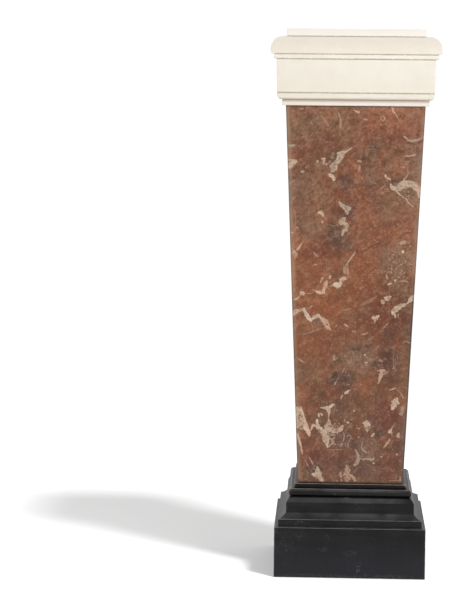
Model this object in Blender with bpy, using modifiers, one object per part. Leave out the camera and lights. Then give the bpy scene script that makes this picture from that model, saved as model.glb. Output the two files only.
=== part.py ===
"""Faux marble wooden pedestal.

A floor pedestal of painted wood, square in plan and wider at the top than at the foot.
A cream capital of six boards and mouldings stands on a tapered shaft painted as marble,
and the shaft stands on a black base of four.
Every piece is a profile run round a square: the profile lies on the mitre and is spun in four steps.

Units are metres, +Z is up, and the origin is the middle of the underside.
"""

import math

import bmesh
import bpy

OBJECT_NAME = "faux_marble_pedestal"

# Clearance that keeps a piece off the one that it rests on
SEAT_GAP = 0.0003

# Heights of the pieces, from the floor up
PLINTH_HEIGHT = 0.1040
COVE_HEIGHT = 0.0590
TORUS_HEIGHT = 0.0170
BASE_FILLET_HEIGHT = 0.0092
SHAFT_HEIGHT = 0.7770
NECK_HEIGHT = 0.0122
BAND_HEIGHT = 0.0138
FRIEZE_HEIGHT = 0.0677
CORNICE_HEIGHT = 0.0100
CUSHION_HEIGHT = 0.0346
TABLET_HEIGHT = 0.0155

# Half widths of the pieces, from the axis to the middle of a side
PLINTH_HALF = 0.1552
COVE_FILLET_HALF = 0.1482
COVE_NECK_HALF = 0.1320
TORUS_HALF = 0.1270
BASE_FILLET_HALF = 0.1152
SHAFT_FOOT_HALF = 0.1084
SHAFT_TOP_HALF = 0.1407
NECK_HALF = 0.1481
BAND_HALF = 0.1580
BAND_FOOT_HALF = 0.1513
FRIEZE_FOOT_HALF = 0.1582
FRIEZE_TOP_HALF = 0.1600
CORNICE_HALF = 0.1648
CUSHION_HALF = 0.1715
CUSHION_TOP_HALF = 0.1500
TABLET_HALF = 0.1400

# Heights within the moulded pieces
COVE_FILLET_RISE = 0.0158
COVE_HOLLOW_RISE = 0.0112
COVE_HOLLOW_DEPTH = 0.0018
COVE_SHOULDER_SPLAY = 0.0078
COVE_SHOULDER_FALL = 0.0115
COVE_SHOULDER_SWELL = 0.0005
BAND_FLAT_RISE = 0.0022
CUSHION_EDGE_RISE = 0.0057
CUSHION_FOOT_ROUND = 0.0030

# How finely curves are cut, and how far arrises are eased
CURVE_STEPS = 8
SMALL_CURVE_STEPS = 3
ARRIS_WIDTH = 0.0008
ARRIS_SEGMENTS = 2
ARRIS_ANGLE = math.radians(50)
MERGE_DISTANCE = 0.00001

# Finishes: colour, roughness and metallic value
CREAM = ("cream_paint", (0.83, 0.79, 0.70), 0.55, 0.0)
MARBLED = ("marbled_paint", (0.28, 0.11, 0.065), 0.42, 0.0)
BLACK = ("black_paint", (0.022, 0.022, 0.025), 0.38, 0.0)


def clear_scene():
    """Remove every object that the file opened with."""
    for thing in list(bpy.data.objects):
        bpy.data.objects.remove(thing, do_unlink=True)


def make_collection(name):
    """Return a new collection linked to the scene."""
    collection = bpy.data.collections.new(name)
    bpy.context.scene.collection.children.link(collection)
    return collection


def make_material(node_name, finish):
    """Return a Principled material of one finish for one piece."""
    finish_name, colour, roughness, metallic = finish
    material = bpy.data.materials.new(f"{node_name}_{finish_name}")
    material.use_nodes = True
    shader = material.node_tree.nodes["Principled BSDF"]
    shader.inputs["Base Color"].default_value = (*colour, 1.0)
    shader.inputs["Roughness"].default_value = roughness
    shader.inputs["Metallic"].default_value = metallic
    return material


def arc(centre, radii, start, end, steps):
    """Return the points of an elliptical arc as (half width, height) pairs.

    Angles are in degrees from the outward level direction, anticlockwise.
    """
    points = []
    for step in range(steps + 1):
        angle = math.radians(start + (end - start) * step / steps)
        points.append((centre[0] + radii[0] * math.cos(angle), centre[1] + radii[1] * math.sin(angle)))
    return points


def bow(start, end, depth, steps):
    """Return the points of a shallow curve between two (half width, height) pairs.

    Its middle lies depth inside the straight line, or outside it where depth is less than 0.
    """
    across, down = end[0] - start[0], end[1] - start[1]
    span = math.hypot(across, down)
    points = []
    for step in range(steps + 1):
        share = step / steps
        inset = 4 * depth * share * (1 - share) / span
        points.append((start[0] + across * share + down * inset, start[1] + down * share - across * inset))
    return points


def run_round_square(name, profile, finish, collection, eased=True):
    """Make one piece from a profile of (half width, height) points, listed from top to bottom.

    The profile stands on the mitre line, is spun in four steps about the axis, and is closed
    with one flat face above and one below.
    """
    form = bmesh.new()
    corners = [form.verts.new((half, half, height)) for half, height in profile]
    mitre = [form.edges.new(pair) for pair in zip(corners, corners[1:])]
    bmesh.ops.spin(form, geom=corners + mitre, cent=(0, 0, 0), axis=(0, 0, 1), dvec=(0, 0, 0),
                   angle=math.tau, steps=4, use_merge=True)
    bmesh.ops.remove_doubles(form, verts=form.verts[:], dist=MERGE_DISTANCE)
    rims = [edge for edge in form.edges if edge.is_boundary]
    bmesh.ops.holes_fill(form, edges=rims, sides=4)
    bmesh.ops.recalc_face_normals(form, faces=form.faces[:])
    mesh = bpy.data.meshes.new(name)
    form.to_mesh(mesh)
    form.free()
    piece = bpy.data.objects.new(name, mesh)
    collection.objects.link(piece)
    mesh.materials.append(make_material(name, finish))
    if eased:
        ease_arrises(piece)
    return piece


def ease_arrises(piece):
    """Round the sharp arrises of a piece a little, as paint and handling leave them."""
    bevel = piece.modifiers.new("eased arrises", "BEVEL")
    bevel.width = ARRIS_WIDTH
    bevel.segments = ARRIS_SEGMENTS
    bevel.limit_method = "ANGLE"
    bevel.angle_limit = ARRIS_ANGLE


def plain_profile(foot, height, foot_half, top_half):
    """Return the straight or tapered side of a plain block."""
    return [(top_half, foot + height), (foot_half, foot)]


def cove_profile(foot, top):
    """Return the cove moulding: splayed shoulder, plain neck, shallow hollow and fillet."""
    fillet_top = foot - SEAT_GAP + COVE_FILLET_RISE
    neck_top = (COVE_NECK_HALF, top - COVE_SHOULDER_FALL)
    neck_foot = (COVE_NECK_HALF, fillet_top + COVE_HOLLOW_RISE)
    shoulder = bow((COVE_NECK_HALF - COVE_SHOULDER_SPLAY, top), neck_top, -COVE_SHOULDER_SWELL, CURVE_STEPS)
    hollow = bow(neck_foot, (COVE_FILLET_HALF, fillet_top), COVE_HOLLOW_DEPTH, CURVE_STEPS)
    return shoulder + hollow + [(COVE_FILLET_HALF, foot)]


def torus_profile(foot, top):
    """Return the half-round edge of the base torus."""
    radius = (top - foot) / 2
    return arc((TORUS_HALF - radius, foot + radius), (radius, radius), 90, -90, 2 * CURVE_STEPS)


def band_profile(foot, top):
    """Return the lower band, whose face rounds in to its foot."""
    round_top = top - BAND_FLAT_RISE
    face = arc((BAND_FOOT_HALF, round_top), (BAND_HALF - BAND_FOOT_HALF, round_top - foot), 0, -90, CURVE_STEPS)
    return [(BAND_HALF, top)] + face


def cushion_profile(foot, top):
    """Return the cushion: a flat top, a quarter round, a short upright edge and a small foot round."""
    edge_foot = foot - SEAT_GAP + CUSHION_FOOT_ROUND
    edge_top = edge_foot + CUSHION_EDGE_RISE
    crown = arc((CUSHION_TOP_HALF, edge_top), (CUSHION_HALF - CUSHION_TOP_HALF, top - edge_top), 90, 0, CURVE_STEPS)
    foot_round = arc((CUSHION_HALF - CUSHION_FOOT_ROUND, edge_foot), (CUSHION_FOOT_ROUND, edge_foot - foot),
                     0, -90, SMALL_CURVE_STEPS)
    return crown + foot_round


def make_base(collection):
    """Make the four black pieces and return the height that the shaft stands at."""
    foot = 0.0
    top = foot + PLINTH_HEIGHT
    run_round_square("plinth", plain_profile(foot, PLINTH_HEIGHT, PLINTH_HALF, PLINTH_HALF), BLACK, collection)

    foot = top + SEAT_GAP
    top += COVE_HEIGHT
    run_round_square("cove_moulding", cove_profile(foot, top), BLACK, collection)

    foot = top + SEAT_GAP
    top += TORUS_HEIGHT
    run_round_square("base_torus", torus_profile(foot, top), BLACK, collection, eased=False)

    foot = top + SEAT_GAP
    top += BASE_FILLET_HEIGHT
    side = plain_profile(foot, BASE_FILLET_HEIGHT - SEAT_GAP, BASE_FILLET_HALF, BASE_FILLET_HALF)
    run_round_square("base_fillet_board", side, BLACK, collection)
    return top


def make_shaft(collection, seat):
    """Make the tapered shaft on the given seat and return its top height."""
    side = plain_profile(seat + SEAT_GAP, SHAFT_HEIGHT - SEAT_GAP, SHAFT_FOOT_HALF, SHAFT_TOP_HALF)
    run_round_square("shaft", side, MARBLED, collection)
    return seat + SHAFT_HEIGHT


def make_capital(collection, seat):
    """Make the six cream pieces above the shaft."""
    foot = seat + SEAT_GAP
    top = seat + NECK_HEIGHT
    side = plain_profile(foot, NECK_HEIGHT - SEAT_GAP, NECK_HALF, NECK_HALF)
    run_round_square("neck_fillet", side, CREAM, collection)

    foot = top + SEAT_GAP
    top += BAND_HEIGHT
    run_round_square("lower_band", band_profile(foot, top), CREAM, collection)

    foot = top + SEAT_GAP
    top += FRIEZE_HEIGHT
    side = plain_profile(foot, FRIEZE_HEIGHT - SEAT_GAP, FRIEZE_FOOT_HALF, FRIEZE_TOP_HALF)
    run_round_square("frieze_block", side, CREAM, collection)

    foot = top + SEAT_GAP
    top += CORNICE_HEIGHT
    side = plain_profile(foot, CORNICE_HEIGHT - SEAT_GAP, CORNICE_HALF, CORNICE_HALF)
    run_round_square("cornice_fillet", side, CREAM, collection)

    foot = top + SEAT_GAP
    top += CUSHION_HEIGHT
    run_round_square("cushion_moulding", cushion_profile(foot, top), CREAM, collection)

    foot = top + SEAT_GAP
    side = plain_profile(foot, TABLET_HEIGHT - SEAT_GAP, TABLET_HALF, TABLET_HALF)
    run_round_square("top_tablet", side, CREAM, collection)


def main():
    """Build the whole pedestal from the floor up."""
    clear_scene()
    collection = make_collection(OBJECT_NAME)
    shaft_seat = make_base(collection)
    capital_seat = make_shaft(collection, shaft_seat)
    make_capital(collection, capital_seat)


main()
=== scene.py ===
"""Looks of the faux marble pedestal: painted boards, marbled shaft and studio.

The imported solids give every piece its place. Each piece of the pedestal is modelled again here
with eased arrises, slightly uneven faces and the fields that its paint reads.
Lengths are metres unless a name says otherwise, +Z is up, and the photographed side faces -Y.
"""

import logging
import math
import random
from dataclasses import dataclass, field, replace
from enum import Enum
from typing import Any, Iterable, Sequence

import bmesh
import bpy
import numpy as np
from mathutils import Matrix, Vector, noise


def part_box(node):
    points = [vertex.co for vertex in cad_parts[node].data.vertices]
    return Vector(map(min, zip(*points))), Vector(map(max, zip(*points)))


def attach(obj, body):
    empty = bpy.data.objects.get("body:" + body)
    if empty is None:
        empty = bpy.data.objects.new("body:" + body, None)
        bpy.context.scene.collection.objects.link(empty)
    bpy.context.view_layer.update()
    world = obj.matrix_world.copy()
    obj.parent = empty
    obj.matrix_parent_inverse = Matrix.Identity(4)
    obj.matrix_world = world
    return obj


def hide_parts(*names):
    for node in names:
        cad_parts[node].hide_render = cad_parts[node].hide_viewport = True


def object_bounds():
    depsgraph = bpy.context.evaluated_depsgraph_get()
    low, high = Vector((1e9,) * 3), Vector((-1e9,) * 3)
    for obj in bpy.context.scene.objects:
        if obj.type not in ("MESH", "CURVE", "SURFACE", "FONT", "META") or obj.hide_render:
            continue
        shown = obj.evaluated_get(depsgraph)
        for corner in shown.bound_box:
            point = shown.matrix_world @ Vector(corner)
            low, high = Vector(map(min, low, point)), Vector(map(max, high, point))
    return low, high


logging.basicConfig(level=logging.INFO, format="%(message)s")
LOG = logging.getLogger("pedestal")

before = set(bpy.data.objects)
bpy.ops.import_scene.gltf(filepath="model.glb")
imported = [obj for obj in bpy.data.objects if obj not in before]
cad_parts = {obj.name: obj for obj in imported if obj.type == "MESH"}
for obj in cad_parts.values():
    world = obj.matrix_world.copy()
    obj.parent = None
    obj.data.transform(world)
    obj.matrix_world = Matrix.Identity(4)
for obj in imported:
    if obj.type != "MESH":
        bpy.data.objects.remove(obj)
CAD_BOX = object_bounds()

PHOTO_WIDTH = 451
PHOTO_HEIGHT = 610
SENSOR_MM = 36.0
MM = 0.001
OUT_OF_REACH = 10.0
FAR = 1.0
SLIP = 0.8 * MM
TOUCHING = 0.01 * MM
MERGE_DISTANCE = 0.002 * MM
SIDE_SPAN = 100.0 * MM

Point = tuple[float, float]
Triple = tuple[float, float, float]
Socket = bpy.types.NodeSocket
Piece = bpy.types.Object
Form = bmesh.types.BMesh


class Tone(Enum):
    """How warm a painted vein is, from greyish to orange; a dark one is a line of shadow."""

    GREY = 0.0
    CREAM = 0.5
    PINK = 0.75
    ORANGE = 1.0
    DARK = 2.0


class Stain(Enum):
    """The kinds of soft cloud that lie in the marbling; each is a field of its own."""

    LIGHT = "light_cloud"
    GREY = "grey_cloud"
    DARK = "dark_cloud"
    FLECK = "fleck_cloud"
    OLIVE = "olive_cloud"
    ORANGE = "orange_cloud"
    OXBLOOD = "oxblood_cloud"


# Shader tools


@dataclass(frozen=True)
class Value:
    """A number that varies over a surface: one output socket, with arithmetic."""

    graph: "Graph"
    socket: Socket

    def _math(self, operation: str, *others: Any) -> "Value":
        """Return this value combined with others by one Math node."""
        return self.graph.math(operation, self, *others)

    def __add__(self, other: Any) -> "Value":
        """Add."""
        return self._math("ADD", other)

    __radd__ = __add__

    def __sub__(self, other: Any) -> "Value":
        """Subtract."""
        return self._math("SUBTRACT", other)

    def __rsub__(self, other: Any) -> "Value":
        """Subtract this value from a number."""
        return self.graph.math("SUBTRACT", other, self)

    def __mul__(self, other: Any) -> "Value":
        """Multiply."""
        return self._math("MULTIPLY", other)

    __rmul__ = __mul__

    def __truediv__(self, other: Any) -> "Value":
        """Divide."""
        return self._math("DIVIDE", other)

    def __abs__(self) -> "Value":
        """Return the absolute value."""
        return self._math("ABSOLUTE")

    def least(self, other: Any) -> "Value":
        """Return the smaller of two values."""
        return self._math("MINIMUM", other)

    def most(self, other: Any) -> "Value":
        """Return the larger of two values."""
        return self._math("MAXIMUM", other)

    def step(self, low: float, high: float) -> "Value":
        """Return 0 below low, 1 above high and a smooth rise between; low may be the larger.

        Args:
            low: where the result is 0.
            high: where the result is 1.

        Returns:
            The smooth step.
        """
        start, end = (low, high) if low < high else (high, low)
        ends = (0.0, 1.0) if low < high else (1.0, 0.0)
        settings = {"interpolation_type": "SMOOTHSTEP"}
        links = {"Value": self, "From Min": start, "From Max": end, "To Min": ends[0], "To Max": ends[1]}
        return self.graph.value("ShaderNodeMapRange", settings, links)


class Graph:
    """A node tree, and the way to add nodes to it."""

    def __init__(self, tree: bpy.types.NodeTree) -> None:
        """Take up a tree.

        Args:
            tree: the node tree of a material or of the surround.
        """
        self.tree = tree

    def node(self, kind: str, settings: dict[str, Any] | None = None,
             links: dict[Any, Any] | None = None) -> bpy.types.Node:
        """Add one node.

        Args:
            kind: the node's type.
            settings: its properties, set before its sockets.
            links: values or links for its input sockets, by name or number.

        Returns:
            The new node.
        """
        made = self.tree.nodes.new(kind)
        for key, setting in (settings or {}).items():
            setattr(made, key, setting)
        for key, source in (links or {}).items():
            self.feed(made.inputs[key], source)
        return made

    def feed(self, target: Socket, source: Any) -> None:
        """Give an input its source.

        Args:
            target: the input socket.
            source: a value or socket to link, or a plain number or colour.
        """
        if isinstance(source, Value):
            self.tree.links.new(source.socket, target)
        elif isinstance(source, Socket):
            self.tree.links.new(source, target)
        elif isinstance(source, (tuple, list)) and len(source) == 3 and len(target.default_value) == 4:
            target.default_value = (*source, 1.0)
        else:
            target.default_value = source

    def value(self, kind: str, settings: dict[str, Any] | None = None,
              links: dict[Any, Any] | None = None, output: Any = 0) -> Value:
        """Add one node and return one of its outputs as a value."""
        return Value(self, self.node(kind, settings, links).outputs[output])

    def math(self, operation: str, *terms: Any) -> Value:
        """Add one Math node."""
        return self.value("ShaderNodeMath", {"operation": operation}, dict(enumerate(terms)))

    def field(self, name: str) -> Value:
        """Return a field that the mesh carries."""
        return self.value("ShaderNodeAttribute", {"attribute_name": name}, output="Fac")

    def mix(self, amount: Any, first: Any, second: Any, blend: str = "MIX") -> Socket:
        """Return two colours mixed."""
        settings = {"data_type": "RGBA", "blend_type": blend}
        return self.node("ShaderNodeMix", settings, {0: amount, 6: first, 7: second}).outputs[2]


class Paint(Graph):
    """The node tree of one material."""

    def __init__(self, name: str) -> None:
        """Start a material with a Principled shader.

        Args:
            name: the material's name.
        """
        self.material = bpy.data.materials.new(name)
        self.material.use_nodes = True
        super().__init__(self.material.node_tree)
        self.shader = self.tree.nodes["Principled BSDF"]
        self.object_place = self.node("ShaderNodeTexCoord").outputs["Object"]

    def noise(self, scale: float, detail: float = 3.0, roughness: float = 0.55, distortion: float = 0.0,
              place: Any = None) -> Value:
        """Return fractal noise.

        Args:
            scale: waves in a metre.
            detail: octaves.
            roughness: how strong the finer octaves are.
            distortion: how far the noise is dragged about.
            place: coordinates, or None for the object's own.

        Returns:
            Noise about 0.5.
        """
        links = {"Vector": place or self.object_place, "Scale": scale, "Detail": detail,
                 "Roughness": roughness, "Distortion": distortion}
        return self.value("ShaderNodeTexNoise", {"noise_dimensions": "3D"}, links, "Fac")

    def stretched(self, along: Any, across: Any) -> Socket:
        """Return flat coordinates put together from two values."""
        return self.node("ShaderNodeCombineXYZ", None, {"X": along, "Y": across}).outputs[0]

    def axes(self) -> tuple[Value, Value, Value]:
        """Return the object's own east, north and height."""
        split = self.node("ShaderNodeSeparateXYZ", None, {0: self.object_place})
        return tuple(Value(self, socket) for socket in split.outputs)

    def slanted(self, angle: float, along: float, aside: float) -> Socket:
        """Return coordinates for strokes that rise as they go round the piece.

        Args:
            angle: how steeply they rise.
            along: waves in a metre along a stroke.
            aside: waves in a metre across it.

        Returns:
            The coordinates.
        """
        east, north, up = self.axes()
        level = east + north
        forward = level * math.cos(angle) + up * math.sin(angle)
        across = up * math.cos(angle) - level * math.sin(angle)
        return self.stretched(forward * along, across * aside)

    def bump(self, height: Value, strength: float, distance: float) -> Socket:
        """Return a normal bumped by a height."""
        links = {"Height": height, "Strength": strength, "Distance": distance}
        return self.node("ShaderNodeBump", None, links).outputs[0]

    def finish(self, **sockets: Any) -> bpy.types.Material:
        """Set the shader's sockets and return the material.

        Args:
            sockets: values or links, named as the shader's sockets with _ for a space.

        Returns:
            The finished material.
        """
        for name, source in sockets.items():
            self.feed(self.shader.inputs[name.replace("_", " ")], source)
        return self.material


# Finishes

Colour = Triple


@dataclass(frozen=True)
class CreamPaint:
    """Old cream paint: nearly even, a little yellowed, dark where boards meet from dirt and painted shade,
    with a band of painted shade where one is set.

    A finish's waves are the waves in a metre of its noises, as (along, across) where they are strokes.
    """

    slot: str = "cream_paint"
    fresh: Colour = (0.870, 0.825, 0.740)
    yellowed: Colour = (0.80, 0.735, 0.615)
    # one colour for the dirt in the joints and for the painted shade
    dirt_and_shade: Colour = (0.36, 0.30, 0.22)
    seam_width: float = 2.0 * MM
    seam_core: float = 0.4 * MM
    seam_dirt_and_shade: float = 0.92
    yellow_top: float = 1060.0 * MM
    yellow_foot: float = 985.0 * MM
    cloud_waves: float = 9.0
    blotch_waves: float = 46.0
    grime_waves: float = 160.0
    brush_waves: Point = (14.0, 420.0)
    relief: float = 0.4 * MM
    # painted shade: the heights over which the paint darkens, and how far
    shaded_from: float = 0.0
    shaded_to: float = 0.0
    shaded_amount: float = 0.28

    def build(self, name: str) -> bpy.types.Material:
        """Return the material for one piece.

        Args:
            name: the material's name.

        Returns:
            The material.
        """
        graph = Paint(name)
        cloudy = graph.noise(self.cloud_waves, 4.0, 0.6)
        blotch = graph.noise(self.blotch_waves, 3.0, 0.5)
        low = graph.field("up").step(self.yellow_top, self.yellow_foot)
        aged = (cloudy * 0.6 + blotch * 0.4).step(0.38, 0.70) * 0.45 + low * 0.55
        colour = graph.mix(aged, self.fresh, self.yellowed)
        seam = graph.field("seam")
        grime = graph.noise(self.grime_waves, 4.0, 0.6)
        # dirt in the joints together with painted shade where the neighbouring board's overhang shades them
        dirty_and_shaded = seam.step(self.seam_width, self.seam_core) * grime.step(0.22, 0.55) * self.seam_dirt_and_shade
        colour = graph.mix(dirty_and_shaded, colour, self.dirt_and_shade)
        # painted shade where a neighbouring moulding shades this board
        if self.shaded_from != self.shaded_to:
            shade = graph.field("up").step(self.shaded_from, self.shaded_to) * self.shaded_amount
            colour = graph.mix(shade, colour, self.dirt_and_shade)
        along, across = self.brush_waves
        place = graph.stretched(graph.field("run") * along, graph.field("up") * across)
        brush = graph.noise(1.0, 3.0, 0.6, place=place)
        bump = graph.bump(brush * 0.7 + blotch * 0.6, 0.25, self.relief)
        return graph.finish(Base_Color=colour, Roughness=blotch * 0.12 + 0.46, Normal=bump)


@dataclass(frozen=True)
class BlackPaint:
    """Black paint, dull satin, brushed along the mouldings, rubbed pale on the arrises with painted
    highlights there, dusty with painted sheen on the ledges, and scuffed.

    Each of its shaded pairs holds the heights where a band of painted shade begins and where it is full. Each
    scuff holds its place across and up, its half width and half height, all in millimetres, and its strength.
    """

    slot: str = "black_paint"
    deep: Colour = (0.0032, 0.0032, 0.0036)
    dusty: Colour = (0.0088, 0.0086, 0.0102)
    # dust on the ledges, and painted sheen on the faces that look up
    dust_and_sheen: Colour = (0.060, 0.060, 0.062)
    # lighter towards the floor: dust together with a painted reflection of the floor
    foot_dust_and_reflection: Colour = (0.0125, 0.0118, 0.0160)
    foot_reach: float = 0.0
    # worn paint on the arrises, also a painted highlight along them
    worn_and_highlight: Colour = (0.19, 0.18, 0.17)
    worn_highlight_width: float = 1.0 * MM
    brown: Colour = (0.017, 0.0115, 0.0100)
    brown_reach: float = 9.0 * MM
    maroon: Colour = (0.030, 0.009, 0.010)
    maroon_reach: float = 9.0 * MM
    maroon_amount: float = 0.0
    # the colour of the painted shade
    shade_black: Colour = (0.0012, 0.0010, 0.0010)
    shaded_bands: tuple[Point, ...] = ()
    scuffed: Colour = (0.030, 0.029, 0.032)
    scuffs: tuple[tuple[float, ...], ...] = ()
    # east positions over which the dust and painted sheen grow, then where painted shade on the right cuts
    # them back
    dust_sheen_east: Point = (-120.0 * MM, 60.0 * MM)
    dust_sheen_right_shade: Point = (80.0 * MM, 110.0 * MM)
    brush_waves: Point = (5.0, 45.0)
    cloud_waves: float = 22.0
    fine_waves: float = 260.0
    patch_waves: float = 70.0
    hair_waves: float = 30.0
    smudge_waves: float = 38.0
    sparse_waves: float = 11.0
    relief: float = 0.45 * MM

    def build(self, name: str) -> bpy.types.Material:
        """Return the material for one piece.

        Args:
            name: the material's name.

        Returns:
            The material.
        """
        graph = Paint(name)
        run = graph.field("run")
        up = graph.field("up")
        corner = graph.field("corner")
        along, aside = self.brush_waves
        brush = graph.noise(1.0, 4.0, 0.6, place=graph.stretched(run * along, up * aside))
        cloudy = graph.noise(self.cloud_waves, 4.0, 0.6, 0.4)
        fine = graph.noise(self.fine_waves, 3.0, 0.6)
        colour = graph.mix((cloudy * 0.5 + brush * 0.5).step(0.38, 0.66), self.deep, self.dusty)
        rubbed_end = corner.step(self.brown_reach, self.brown_reach * 0.2) * cloudy.step(0.36, 0.60)
        colour = graph.mix(rubbed_end * 0.8, colour, self.brown)
        if self.maroon_amount:
            stained = corner.step(self.maroon_reach, self.maroon_reach * 0.3) * cloudy.step(0.30, 0.55)
            colour = graph.mix(stained * self.maroon_amount, colour, self.maroon)
        # dust and a painted floor reflection, growing towards the floor
        if self.foot_reach:
            colour = graph.mix(up.step(self.foot_reach, 0.0) * (fine * 0.4 + 0.6), colour, self.foot_dust_and_reflection)
        east, _, _ = graph.axes()
        # dust with painted sheen where faces look up, weaker to the west and cut back at the far east as
        # painted shade
        dust_and_sheen_cover = graph.field("ledge").step(0.15, 0.60) * cloudy.step(0.15, 0.60)
        dust_and_sheen_cover = dust_and_sheen_cover * (east.step(*self.dust_sheen_east) * 0.35 + 0.65)
        dust_and_sheen_cover = dust_and_sheen_cover * (1.0 - east.step(*self.dust_sheen_right_shade) * 0.6)
        colour = graph.mix(dust_and_sheen_cover * 0.8, colour, self.dust_and_sheen)
        for across, height, width, rise, strength in self.scuffs:
            away = graph.math("POWER", abs(east - across * MM) / (width * MM), 2.0)
            away = away + graph.math("POWER", abs(up - height * MM) / (rise * MM), 2.0)
            scuff = away.step(1.3, 0.3) * fine.step(0.40, 0.60) * graph.field("front") * strength
            colour = graph.mix(scuff, colour, self.scuffed)
        patchy = graph.noise(self.patch_waves, 3.0, 0.6).step(0.24, 0.58) * 0.65 + 0.35
        # pale arrises: worn paint and a painted highlight along each eased edge
        edge = graph.field("arris").step(self.worn_highlight_width, self.worn_highlight_width * 0.5) * patchy
        colour = graph.mix(edge * 0.85, colour, self.worn_and_highlight)
        # painted shade: each band darkens the paint where a neighbouring moulding shades it
        for unshaded, black in self.shaded_bands:
            colour = graph.mix(up.step(unshaded, black) * 0.9, colour, self.shade_black)
        hairs = abs(graph.noise(self.hair_waves, 2.0, 0.5, 1.8) - 0.5).step(0.007, 0.001)
        smudge = graph.noise(self.smudge_waves, 4.0, 0.7, 0.5).step(0.60, 0.78)
        sparse = graph.noise(self.sparse_waves, 2.0, 0.5).step(0.56, 0.68)
        colour = graph.mix((hairs * sparse).most(smudge * 0.4) * 0.30, colour, self.worn_and_highlight)
        bump = graph.bump(brush * 0.4 + fine * 0.25 + cloudy * 0.6, 0.3, self.relief)
        roughness = cloudy * 0.14 + brush * 0.10 + smudge * 0.15 + 0.34
        return graph.finish(Base_Color=colour, Roughness=roughness, Normal=bump, Specular_IOR_Level=0.18)


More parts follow.
